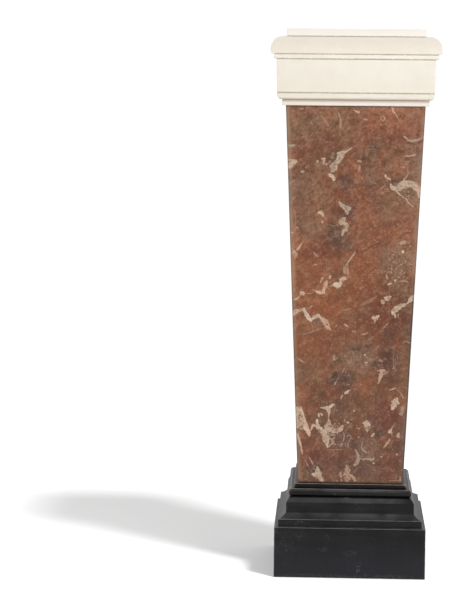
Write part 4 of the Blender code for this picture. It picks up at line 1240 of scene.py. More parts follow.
# Soft clouds on that face: pixels across and down to the middle, half width, half height, strength,
# and degrees of turn where there is one
CLOUDS: dict[Stain, tuple[tuple[Any, ...], ...]] = {
    Stain.OLIVE: (
        ("top left", 303, 126, 22, 16, 0.85), ("top olive streak", 334, 124, 7, 14, 0.6),
        ("left", 306, 190, 18, 22, 0.8), ("upper patch", 318, 168, 12, 9, 0.65),
        ("right", 402, 199, 15, 13, 0.9), ("right oak", 390, 210, 14, 12, 0.6),
        ("left olive low", 309, 226, 14, 13, 0.85), ("zigzag", 303, 325, 8, 9, 0.7),
        ("lower left", 309, 371, 17, 13, 0.75), ("right edge", 401, 366, 7, 26, 0.7),
        ("low", 358, 411, 15, 9, 0.55), ("net", 321, 419, 7, 8, 0.8)),
    Stain.OXBLOOD: (
        ("top left shade", 308, 113, 9, 5, 0.6), ("top arc shade", 318, 118, 6, 9, 0.45, -20),
        ("top middle shade", 331, 139, 15, 9, 0.55), ("left", 300, 150, 12, 9, 0.45),
        ("top violet", 374, 137, 6, 8, 0.6), ("under patch", 343, 184, 10, 11, 0.85),
        ("flame shade upper", 338, 214, 6, 8, 0.7), ("flame shade", 325, 250, 15, 8, 0.85),
        ("middle shade", 332, 268, 12, 8, 0.35), ("right", 386, 316, 24, 26, 0.75),
        ("low left", 313, 404, 11, 10, 0.25), ("low right", 387, 418, 15, 17, 0.85),
        ("foot", 312, 457, 14, 10, 0.85), ("foot oxblood right", 392, 462, 14, 15, 0.6),
        ("great cloud bruise", 345, 381, 9, 8, 0.9, 30), ("flame right", 348, 211, 7, 16, 0.75),
        ("smoke foot", 346, 388, 8, 5, 0.7), ("right smoke", 385, 354, 12, 12, 1)),
    Stain.ORANGE: (
        ("top right", 396, 124, 23, 12, 0.45), ("centre", 362, 222, 16, 13, 0.5),
        ("middle", 318, 284, 24, 36, 0.6), ("middle orange right", 358, 270, 22, 34, 0.6),
        ("right band", 385, 236, 20, 7, 0.4), ("left orange low", 309, 345, 16, 10, 0.35),
        ("low", 364, 387, 8, 11, 0.75), ("left edge", 291, 260, 6, 50, 1),
        ("right arch", 401, 163, 8, 8, 0.5), ("zigzag", 323, 308, 18, 16, 0.85),
        ("low left", 302, 394, 8, 16, 0.5), ("top", 324.5, 119, 5, 8, 0.6, -30),
        ("middle rise", 348, 300, 16, 14, 0.6), ("low rise", 347, 394, 8, 8, 0.4),
        ("right edge red", 412, 160, 5, 14, 0.6), ("right head", 395, 118, 22, 14, 0.4),
        ("right low rise", 406, 404, 7, 14, 1), ("right edge", 411, 158, 5, 6, 0.7),
        ("upper right", 384, 182, 10, 12, 0.45), ("upper middle", 380, 158, 8, 14, 0.4),
        ("slip", 350, 307, 10, 10, 0.5), ("long vein", 334, 284, 7, 8, 0.5)),
    Stain.LIGHT: (
        ("left band", 290, 264, 7, 28, 0.95), ("left zig", 292, 326, 7, 8, 0.9),
        ("zig floor", 313, 325, 22, 7, 0.35), ("zig top", 311, 300, 16, 8, 0.3),
        ("shield head", 301, 396, 6, 8, 0.55), ("shield foot", 300, 435, 6, 6, 0.55),
        ("arch mast", 400, 168, 7, 8, 0.55), ("top edge", 410, 138, 8, 10, 0.4),
        ("top right", 398, 118, 24, 18, 0.35), ("low edge", 410, 412, 7, 22, 0.55),
        ("right band", 410, 238, 7, 26, 0.4), ("left fan", 290, 157, 5, 7, 0.95),
        ("wedge side", 324, 217, 7, 6, 0.45), ("ring side", 334, 265, 6, 6, 0.5),
        ("middle left", 323, 289, 9, 6, 0.35), ("low left", 322, 373, 7, 7, 0.4),
        ("net side", 312, 409, 6, 7, 0.35), ("left strip", 303, 457, 7, 7, 0.3),
        ("edge high", 413, 136, 4, 16, 0.5), ("right wing", 411, 271, 4, 8, 0.45),
        ("low ember", 402, 410, 4, 6, 0.55)),
    Stain.GREY: (
        ("edge spot", 413, 148, 7, 9, 0.4), ("right edge strip", 415, 180, 5, 34, 0.75),
        ("left edge violet", 291, 188, 5, 14, 0.7), ("right spot", 371, 176, 8, 8, 0.6),
        ("left haze", 313, 230, 12, 7, 0.35), ("speckled cloud", 396, 262, 17, 19, 0.85, 10),
        ("speckled cloud tail", 402, 288, 11, 9, 0.55), ("zigzag fill", 317, 322, 5, 5, 0.9),
        ("great cloud", 357, 358, 21, 18, 1, 15), ("great cloud foot", 347, 374, 12, 10, 0.7, 30),
        ("left edge", 299, 376, 5, 9, 0.7), ("right edge", 404, 372, 4, 30, 0.35),
        ("net haze", 338, 440, 13, 9, 0.65), ("violet oval", 366, 447, 12, 12, 0.65),
        ("foot haze", 328, 472, 18, 9, 0.3), ("foot haze right", 366, 472, 15, 9, 0.5),
        ("low edge", 402, 440, 4, 36, 0.6), ("top", 316.5, 120, 4.5, 8, 0.5),
        ("top right", 412, 116, 6, 6, 0.4), ("top left", 363, 124, 4, 5, 0.4),
        ("right strip", 413, 140, 3.5, 26, 0.35), ("left strip", 300.5, 216, 2.4, 9, 0.4),
        ("edge fan", 292, 179, 4.5, 6, 0.35), ("under patch", 345, 186, 10, 6, 0.3),
        ("great cloud", 352, 360, 10, 9, 1.15, 20), ("low left edge", 297, 440, 3, 18, 0.3)),
    Stain.DARK: (
        ("top bruise", 373, 150, 5, 10, 0.6), ("right spot shade", 369, 168, 7, 5, 0.25),
        ("arch dots", 408, 194, 8, 6, 0.35, 20), ("flame smudge", 337, 239, 9, 8, 0.95, 20),
        ("flame smudge low", 345, 245, 9, 6, 0.9), ("right shade", 398, 323, 13, 14, 0.3),
        ("zigzag fill shade", 317, 322, 5, 5, 0.35), ("great cloud knot", 357, 349, 5, 3, 0.9),
        ("great cloud knot right", 367, 348, 4, 4, 0.7), ("great cloud knot left", 341, 360, 5, 2, 0.85),
        ("great cloud smoke", 345, 380, 10, 9, 0.88, 40), ("scratch shade", 337, 377, 2.4, 3.4, 0.95, 30),
        ("scratch shade left", 329, 381, 3, 3, 0.85), ("right smoke", 390, 360, 12, 14, 0.78),
        ("right smoke low", 392, 377, 9, 8, 0.65), ("low brown", 345, 396, 12, 8, 0.35),
        ("net hole", 321, 422, 4, 5, 0.35), ("net haze shade", 341, 440, 13, 9, 0.5),
        ("violet oval shade", 354, 444, 6, 8, 0.55), ("low smoke", 396, 446, 9, 8, 0.5),
        ("right edge shade", 409, 325, 5, 36, 0.55), ("low right shade", 400, 432, 8, 46, 0.22),
        ("great cloud shade", 353, 350, 10, 6, 0.45), ("left middle shade", 302, 206, 7, 28, 0.25),
        ("right cloud shade", 386, 272, 8, 18, 0.3), ("low middle shade", 340, 458, 16, 14, 0.35),
        ("low far shade", 373, 430, 12, 16, 0.3), ("cloud edge", 379, 362, 7, 6, 0.45),
        ("cloud top", 355, 347, 7, 5, 0.35), ("speckle side", 389, 282, 6, 9, 0.4),
        ("right band", 404, 313, 9, 16, 0.45), ("low cloud", 356, 457, 13, 14, 0.4),
        ("low right", 411, 463, 7, 9, 0.5), ("right knee", 395, 181, 8, 4, 0.8),
        ("upper left", 319, 157, 10, 5, 0.4), ("spear", 317, 469, 10, 6, 0.75),
        ("upper patch side", 334, 157, 5, 6, 0.65), ("flame side", 347, 211, 6, 8, 0.95),
        ("flame left", 334, 229, 5, 5, 1), ("long vein top", 334, 277, 6, 6, 0.35),
        ("right root", 411, 302, 6, 5, 1), ("right vein foot", 411, 326, 5, 9, 0.85),
        ("cloud brow", 389, 336, 6, 16, 0.65), ("cloud bar", 380, 363.5, 10, 5, 0.95),
        ("cloud heart", 362, 355, 8, 8, 0.4), ("smoke left", 335, 379, 6, 9, 1),
        ("low crown", 323, 397, 5, 5, 0.6), ("low stem", 340, 404, 9, 8, 0.45),
        ("ember side", 378, 397, 5, 6, 0.4), ("drop side", 378, 433, 5, 5, 1.2),
        ("foot oval", 361, 469, 9, 7, 0.65), ("foot middle", 346, 457, 7, 6, 0.35),
        ("patch side", 367, 157, 6, 6, 0.4), ("under patch", 346, 181, 8, 6, 0.7),
        ("root side", 384, 181, 9, 6, 0.45), ("top haze", 318, 118, 9, 12, 0.18),
        ("low drift", 345, 387, 6, 5, 0.7), ("band side", 389, 349, 6, 8, 0.6),
        ("flame right", 343, 222, 4, 9, 0.3), ("upper middle", 346, 182, 7, 8, 0.35),
        ("right vein shade", 402, 296, 9, 9, 0.32), ("pin shade", 389, 434, 6, 7, 0.42),
        ("top bruise low", 368, 158, 5, 6, 0.4)),
    Stain.FLECK: (
        ("arch dots", 408, 194, 8, 7, 0.8, 20), ("root dots", 385, 190, 5, 6, 0.5),
        ("speckled cloud", 399, 264, 14, 17, 1), ("great cloud", 358, 358, 18, 16, 0.3)),
}


@dataclass
class Brushwork:
    """Veins and clouds on one side of the shaft, in metres across and up that side."""

    trails: list[tuple[np.ndarray, float, float]] = field(default_factory=list)
    clouds: list[tuple[Stain, Vector, Point, float, float]] = field(default_factory=list)
    trail_step: float = 0.7 * MM
    cloud_falloff: float = 1.4

    @staticmethod
    def bare(count: int, far: float) -> np.ndarray:
        """Return rows of distance, breadth, tone and strength that stand for no vein."""
        return np.tile(np.array([far, 0.0, Tone.CREAM.value, 0.0]), (count, 1))

    def add_trail(self, knots: Sequence[Triple], tone: Tone, strength: float) -> None:
        """Add one vein as a smooth trail.

        Args:
            knots: (across, up, breadth), in metres.
            tone: how warm it is.
            strength: how well it covers.
        """
        rows = np.array(knots, dtype=float)
        if len(rows) > 1:
            rows = self._smooth(rows)
        self.trails.append((rows, tone.value, strength))

    def _smooth(self, knots: np.ndarray) -> np.ndarray:
        """Lay a smooth curve through some knots.

        Args:
            knots: rows of across, up and breadth.

        Returns:
            Rows closely spaced along the curve.
        """
        padded = np.vstack([2 * knots[0] - knots[1], knots, 2 * knots[-1] - knots[-2]])
        rows = [knots[:1]]
        for before, start, end, after in zip(padded, padded[1:], padded[2:], padded[3:]):
            count = max(2, math.ceil(math.dist(start[:2], end[:2]) / self.trail_step))
            share = (np.arange(1, count + 1) / count)[:, None]
            rows.append(0.5 * (2 * start + (end - before) * share
                               + (2 * before - 5 * start + 4 * end - after) * share ** 2
                               + (3 * start - before - 3 * end + after) * share ** 3))
        return np.vstack(rows)

    def veins_at(self, across: np.ndarray, up: np.ndarray, far: float) -> np.ndarray:
        """Return how the veins lie at some points.

        Args:
            across: places across the side.
            up: places up the side.
            far: the distance past which veins don't count.

        Returns:
            Rows of distance to the paint's edge (less than 0 inside), breadth, tone and strength.
        """
        result = self.bare(len(across), far)
        for rows, tone, strength in self.trails:
            reach = far + rows[:, 2].max() / 2
            near = np.flatnonzero((across > rows[:, 0].min() - reach) & (across < rows[:, 0].max() + reach)
                                  & (up > rows[:, 1].min() - reach) & (up < rows[:, 1].max() + reach))
            if not len(near):
                continue
            gap = np.hypot(across[near, None] - rows[None, :, 0], up[near, None] - rows[None, :, 1])
            gap -= rows[None, :, 2] / 2
            nearest = gap.argmin(axis=1)
            distance = gap[np.arange(len(near)), nearest]
            closer = distance < result[near, 0]
            chosen = near[closer]
            result[chosen, 0] = distance[closer]
            result[chosen, 1] = rows[nearest[closer], 2]
            result[chosen, 2] = tone
            result[chosen, 3] = strength
        return result

    def clouds_at(self, across: np.ndarray, up: np.ndarray, stain: Stain) -> np.ndarray:
        """Return how strong one kind of cloud is at some points.

        Args:
            across: places across the side.
            up: places up the side.
            stain: the kind of cloud.

        Returns:
            The strength at each point.
        """
        total = np.zeros(len(across))
        for kind, middle, spread, turn, strength in self.clouds:
            if kind is not stain:
                continue
            east = across - middle.x
            north = up - middle.y
            along = (east * math.cos(turn) + north * math.sin(turn)) / spread[0]
            aside = (north * math.cos(turn) - east * math.sin(turn)) / spread[1]
            total = np.maximum(total, strength * np.exp(-(along ** 2 + aside ** 2) ** self.cloud_falloff))
        return total


@dataclass
class Marbler:
    """The painter who marbles the shaft: the front as photographed, the other sides in the same manner."""

    camera: PhotoCamera
    foot: float
    top: float
    foot_half: float
    top_half: float
    seed: int = 7
    side_veins: int = 46
    side_clouds: int = 44
    cloud_length: Point = (0.014, 0.045)
    cloud_breadth: Point = (0.012, 0.032)
    cloud_strength: Point = (0.35, 0.9)
    side_stains: tuple[Stain, ...] = (Stain.GREY, Stain.GREY, Stain.DARK, Stain.DARK, Stain.OLIVE,
                                      Stain.OLIVE, Stain.ORANGE, Stain.ORANGE, Stain.OXBLOOD, Stain.FLECK)
    vein_lean: Point = (0.15, 1.1)
    lean_signs: tuple[float, ...] = (1.0, 1.0, 1.0, -1.0)
    vein_breadths_mm: tuple[float, ...] = (1.5, 2.0, 3.0, 4.5, 6.0, 9.0, 12.0)
    vein_turns: tuple[int, ...] = (0, 0, 1, 2, 3, 4, 5)
    vein_stride: Point = (0.006, 0.016)
    vein_swell: Point = (0.4, 1.1)
    least_swell: float = 0.35
    vein_tones: tuple[Tone, ...] = (C, C, C, G, O)
    vein_strength: Point = (0.6, 0.95)
    tip_length: float = 0.008
    root_breadth: float = 1.0 * MM
    tip_breadth: float = 0.8 * MM
    crumb_counts: tuple[int, ...] = (0, 0, 1, 2)
    crumb_reach: float = 0.018
    crumb_mm: Point = (1.6, 3.8)

    def half_at(self, height: Any) -> Any:
        """Return the shaft's half width at a height."""
        widening = (self.top_half - self.foot_half) * (height - self.foot)
        return self.foot_half + widening / (self.top - self.foot)

    def from_photo(self, across: float, down: float) -> Point:
        """Return what lies under a pixel of the photograph.

        Args:
            across: pixels from the picture's left edge.
            down: pixels from its top edge.

        Returns:
            The place on the front, across and up.
        """
        slope = (self.top_half - self.foot_half) / (self.top - self.foot)
        normal = Vector((0.0, -1.0, -slope))
        place = self.camera.on_plane(across, down, Vector((0.0, -self.foot_half, self.foot)), normal)
        return place.x, place.z

    def front(self) -> Brushwork:
        """Lay the photographed side's veins and clouds.

        Returns:
            The side's brushwork.
        """
        work = Brushwork()
        for _, *strokes in FIGURES:
            for tone, strength, *path in strokes:
                knots = [(*self.from_photo(across, down), breadth * MM)
                         for across, down, breadth in zip(path[::3], path[1::3], path[2::3])]
                work.add_trail(knots, tone, strength)
        for stain, rows in CLOUDS.items():
            for _, across, down, wide, high, strength, *turn_deg in rows:
                east, up = self.from_photo(across, down)
                pixel = self.from_photo(across + 1.0, down)[0] - east
                turn = math.radians(turn_deg[0]) if turn_deg else 0.0
                work.clouds.append((stain, Vector((east, up)), (wide * pixel, high * pixel), turn, strength))
        LOG.info("front marbling: %d figures, %d strokes, %d clouds", len(FIGURES), len(work.trails),
                 len(work.clouds))
        return work

    def side(self, number: int) -> Brushwork:
        """Return a hidden side's veins and clouds, drawn with its own seed.

        Args:
            number: which side, from 1 to 3.

        Returns:
            The side's brushwork.
        """
        draw = random.Random(self.seed * 10 + number)
        work = Brushwork()
        for _ in range(self.side_veins):
            self._draw_vein(work, draw)
        for _ in range(self.side_clouds):
            stain = draw.choice(self.side_stains)
            up = draw.uniform(self.foot, self.top)
            across = draw.uniform(-1.0, 1.0) * self.half_at(up)
            spread = (draw.uniform(*self.cloud_length), draw.uniform(*self.cloud_breadth))
            work.clouds.append((stain, Vector((across, up)), spread, draw.uniform(0.0, math.pi),
                                draw.uniform(*self.cloud_strength)))
        return work

    def _draw_vein(self, work: Brushwork, draw: random.Random) -> None:
        """Draw one vein with a few turns, or a lone spot, at a random place.

        Args:
            work: the side's brushwork.
            draw: the source of what varies.
        """
        up = draw.uniform(self.foot, self.top)
        across = draw.uniform(-1.0, 1.0) * self.half_at(up)
        lean = draw.uniform(*self.vein_lean) * draw.choice(self.lean_signs)
        heading = lean
        breadth = draw.choice(self.vein_breadths_mm) * MM
        turns = draw.choice(self.vein_turns)
        knots = [(across, up, self.root_breadth if turns else breadth)]
        for turn in range(turns):
            heading = lean + draw.uniform(-1.0, 1.0)
            stride = draw.uniform(*self.vein_stride)
            across += stride * math.cos(heading)
            up += stride * math.sin(heading)
            swell = self.least_swell + math.sin(math.pi * (turn + 1) / (turns + 1))
            knots.append((across, up, breadth * swell * draw.uniform(*self.vein_swell)))
        if turns:
            knots.append((across + self.tip_length * math.cos(heading),
                          up + self.tip_length * math.sin(heading), self.tip_breadth))
        tone = draw.choice(self.vein_tones)
        strength = draw.uniform(*self.vein_strength)
        work.add_trail(knots, tone, strength)
        reach = self.crumb_reach
        for _ in range(draw.choice(self.crumb_counts)):
            crumb = (across + draw.uniform(-reach, reach), up + draw.uniform(-reach, reach))
            work.add_trail([(*crumb, draw.uniform(*self.crumb_mm) * MM)], tone, strength)


@dataclass
class MarbledShaft(SquareMoulding):
    """The tapered shaft, cut finer where its veins lie."""

    marbler: Marbler | None = None
    vein_reach: float = 12.0 * MM
    round_corner: float = 0.4 * MM
    front_reach: float = 3.4 * MM
    front_cuts: int = 3
    side_reach: float = 2.5 * MM
    side_cuts: int = 2
    works: list[Brushwork] = field(default_factory=list)

    def _refine(self, form: Form) -> None:
        """Cut the faces near a vein's edge into smaller ones, finest on the photographed side.

        Args:
            form: the shaft's mesh.
        """
        self.works = [self.marbler.front()] + [self.marbler.side(number) for number in (1, 2, 3)]
        form.edges.index_update()
        faces = [face for face in form.faces if len(face.verts) == 4]
        centres = np.array([face.calc_center_median() for face in faces])
        distance = abs(self._veins(centres)[:, 0])
        on_front = -centres[:, 1] >= abs(centres[:, 0])
        front = self._edges_of(faces, on_front & (distance < self.front_reach))
        sides = self._edges_of(faces, ~on_front & (distance < self.side_reach))
        shared = set(front)
        sides = [edge for edge in sides if edge not in shared]
        bmesh.ops.subdivide_edges(form, edges=front, cuts=self.front_cuts, use_grid_fill=True)
        bmesh.ops.subdivide_edges(form, edges=sides, cuts=self.side_cuts, use_grid_fill=True)

    @staticmethod
    def _edges_of(faces: list[bmesh.types.BMFace], chosen: np.ndarray) -> list[bmesh.types.BMEdge]:
        """Return the edges of the chosen faces, in the mesh's order."""
        edges = {edge for face, wanted in zip(faces, chosen) if wanted for edge in face.edges}
        return sorted(edges, key=lambda edge: edge.index)

    def _charts(self, place: np.ndarray) -> Iterable[tuple[Brushwork, np.ndarray, np.ndarray]]:
        """Yield each side's brushwork with all points' places across and up that side.

        A side's veins run on round its corners, but the front holds no other side's.

        Args:
            place: places as rows.

        Yields:
            A side's brushwork, and the places across and up it.
        """
        half = self.marbler.half_at(place[:, 2])
        on_front = -place[:, 1] >= abs(place[:, 0])
        for number, work in enumerate(self.works):
            turn = -number * math.pi / 2
            east = place[:, 0] * math.cos(turn) - place[:, 1] * math.sin(turn)
            north = place[:, 0] * math.sin(turn) + place[:, 1] * math.cos(turn)
            past = np.maximum(north + half, 0.0)
            across = np.where(past > self.round_corner, np.sign(east) * (half + past), east)
            if number:
                across = np.where(on_front, OUT_OF_REACH, across)
            yield work, across, place[:, 2]

    def _veins(self, place: np.ndarray) -> np.ndarray:
        """Look for the nearest vein.

        Args:
            place: places as rows.

        Returns:
            Rows of its distance, breadth, tone and strength.
        """
        best = Brushwork.bare(len(place), self.vein_reach)
        for work, across, up in self._charts(place):
            found = work.veins_at(across, up, self.vein_reach)
            closer = found[:, 0] < best[:, 0]
            best[closer] = found[closer]
        return best

    def _fields(self, form: Form) -> dict[str, np.ndarray]:
        """Return the plain fields, and those of the marbling.

        Args:
            form: the finished mesh.

        Returns:
            One value for each vertex, by field name.
        """
        fields = super()._fields(form)
        place = self._places(form)
        veins = self._veins(place)
        for column, name in enumerate(("vein", "vein_breadth", "vein_tone", "vein_strength")):
            fields[name] = veins[:, column]
        for stain in Stain:
            total = np.zeros(len(place))
            for work, across, up in self._charts(place):
                total = np.maximum(total, work.clouds_at(across, up, stain))
            fields[stain.value] = total
        return fields


# Sub-assemblies


@dataclass(frozen=True)
class Seat:
    """The box that a CAD node fills, as foot, top and greatest half width."""

    foot: float
    top: float
    half: float

    @classmethod
    def of(cls, node: str) -> "Seat":
        """Return the box of a node."""
        low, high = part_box(node)
        return cls(low.z, high.z, high.x)


@dataclass
class PlainBoards:
    """Makes plain boards and blocks that keep their CAD size."""

    ledge: float = 14.0 * MM
    ease: float = 0.9 * MM

    def build(self, node: str, finish: Finish, seed: float, foot_half: float | None = None,
              ease: float | None = None) -> Piece:
        """Build one board.

        Args:
            node: the CAD node that it stands for.
            finish: its paint.
            seed: what sets its unevenness apart.
            foot_half: half width at its foot, where it tapers.
            ease: how far its arrises are eased, where that isn't the usual amount.

        Returns:
            The board.
        """
        seat = Seat.of(node)
        narrow = foot_half or seat.half
        eased = ease or self.ease
        side_top = (seat.half, seat.top)
        side_foot = (narrow, seat.foot)
        profile = Profile().to(seat.half - self.ledge, seat.top)
        profile.corner(*side_top, following=side_foot, ease=eased)
        profile.corner(*side_foot, following=(narrow - self.ledge, seat.foot), ease=eased)
        profile.to(narrow - self.ledge, seat.foot)
        return SquareMoulding(node, profile, finish, sharp=(side_top, side_foot), seed=seed).build()


@dataclass
class Capital:
    """The cream capital: six boards and mouldings."""

    finish: CreamPaint = CreamPaint()
    boards: PlainBoards = field(default_factory=PlainBoards)
    tablet_fresh: Colour = (0.905, 0.868, 0.815)
    cushion_fresh: Colour = (0.855, 0.790, 0.690)
    cushion_yellowed: Colour = (0.80, 0.715, 0.590)
    cornice_fresh: Colour = (0.895, 0.850, 0.770)
    neck_fresh: Colour = (0.880, 0.780, 0.700)
    neck_yellowed: Colour = (0.850, 0.765, 0.675)
    frieze_foot_half: float = 158.2 * MM
    band_flat: float = 2.2 * MM
    band_foot_half: float = 151.3 * MM
    cushion_flat_half: float = 150.0 * MM
    cushion_edge: float = 5.7 * MM
    cushion_foot_round: float = 3.0 * MM
    band_inset: float = 22.0 * MM
    cushion_inset: float = 20.0 * MM
    band_ease: float = 0.9 * MM
    # painted shade on the band's foot, where it rounds in, and on the neck's top, under the band's overhang
    band_shade: Point = (5.5 * MM, 0.5 * MM)
    band_shade_amount: float = 0.5
    neck_shade: Point = (4.5 * MM, 11.0 * MM)
    neck_shade_amount: float = 0.74
    neck_seam_dirt_and_shade: float = 0.45

    def build(self) -> list[Piece]:
        """Build the capital from its foot up.

        Returns:
            Its pieces.
        """
        whiter = replace(self.finish, fresh=self.tablet_fresh, yellowed=self.finish.fresh)
        neck = Seat.of("neck_fillet")
        # the neck's paint: painted shade under the band, and dirt with painted shade in its joints
        below, above = self.neck_shade
        shaded_paint = replace(self.finish, fresh=self.neck_fresh, yellowed=self.neck_yellowed,
                         seam_dirt_and_shade=self.neck_seam_dirt_and_shade, shaded_from=neck.foot + below,
                         shaded_to=neck.foot + above, shaded_amount=self.neck_shade_amount)
        cornice = replace(self.finish, fresh=self.cornice_fresh)
        return [self.boards.build("neck_fillet", shaded_paint, seed=1.3),
                self._band(),
                self.boards.build("frieze_block", self.finish, seed=3.1, foot_half=self.frieze_foot_half),
                self.boards.build("cornice_fillet", cornice, seed=4.2),
                self._cushion(),
                self.boards.build("top_tablet", whiter, seed=6.5)]

    def _band(self) -> Piece:
        """Build the lower band, whose face rounds in to its foot.

        Returns:
            The band.
        """
        seat = Seat.of("lower_band")
        round_top = seat.top - self.band_flat
        inner = seat.half - self.band_inset
        profile = Profile().to(inner, seat.top)
        profile.corner(seat.half, seat.top, following=(seat.half, round_top), ease=self.band_ease)
        radii = (seat.half - self.band_foot_half, round_top - seat.foot)
        profile.sweep((self.band_foot_half, round_top), radii, 0, -90, steps=12)
        profile.to(inner, seat.foot)
        # the band's paint, with painted shade on its foot
        above, below = self.band_shade
        shaded_paint = replace(self.finish, shaded_from=seat.foot + above, shaded_to=seat.foot + below,
                         shaded_amount=self.band_shade_amount)
        return SquareMoulding("lower_band", profile, shaded_paint, sharp=((seat.half, seat.top),), seed=2.4).build()

    def _cushion(self) -> Piece:
        """Build the cushion: flat top, quarter round, upright edge and small foot round.

        Returns:
            The cushion.
        """
        seat = Seat.of("cushion_moulding")
        edge_foot = seat.foot + self.cushion_foot_round
        edge_top = edge_foot + self.cushion_edge
        inner = self.cushion_flat_half - self.cushion_inset
        profile = Profile().to(inner, seat.top)
        crown = (seat.half - self.cushion_flat_half, seat.top - edge_top)
        profile.sweep((self.cushion_flat_half, edge_top), crown, 90, 0, steps=16)
        rounding = (self.cushion_foot_round, self.cushion_foot_round)
        profile.sweep((seat.half - self.cushion_foot_round, edge_foot), rounding, 0, -90, steps=5)
        profile.to(inner, seat.foot)
        warmer = replace(self.finish, fresh=self.cushion_fresh, yellowed=self.cushion_yellowed)
        return SquareMoulding("cushion_moulding", profile, warmer, seed=5.7).build()


@dataclass
class Shaft:
    """The marbled shaft."""

    camera: PhotoCamera
    finish: MarbledPaint = MarbledPaint()
    foot_half: float = 108.4 * MM
    ease: float = 0.9 * MM
    inset: float = 8.0 * MM
    unevenness: float = 0.16 * MM

    def build(self) -> list[Piece]:
        """Build the shaft.

        Returns:
            Its one piece.
        """
        seat = Seat.of("shaft")
        marbler = Marbler(self.camera, seat.foot, seat.top, self.foot_half, seat.half)
        profile = Profile().to(seat.half - self.inset, seat.top)
        profile.corner(seat.half, seat.top, following=(self.foot_half, seat.foot), ease=self.ease)
        profile.corner(self.foot_half, seat.foot, following=(0.0, seat.foot), ease=self.ease)
        profile.to(self.foot_half - self.inset, seat.foot)
        shaft = MarbledShaft("shaft", profile, self.finish, seed=9.0, unevenness=self.unevenness,
                             marbler=marbler)
        return [shaft.build()]


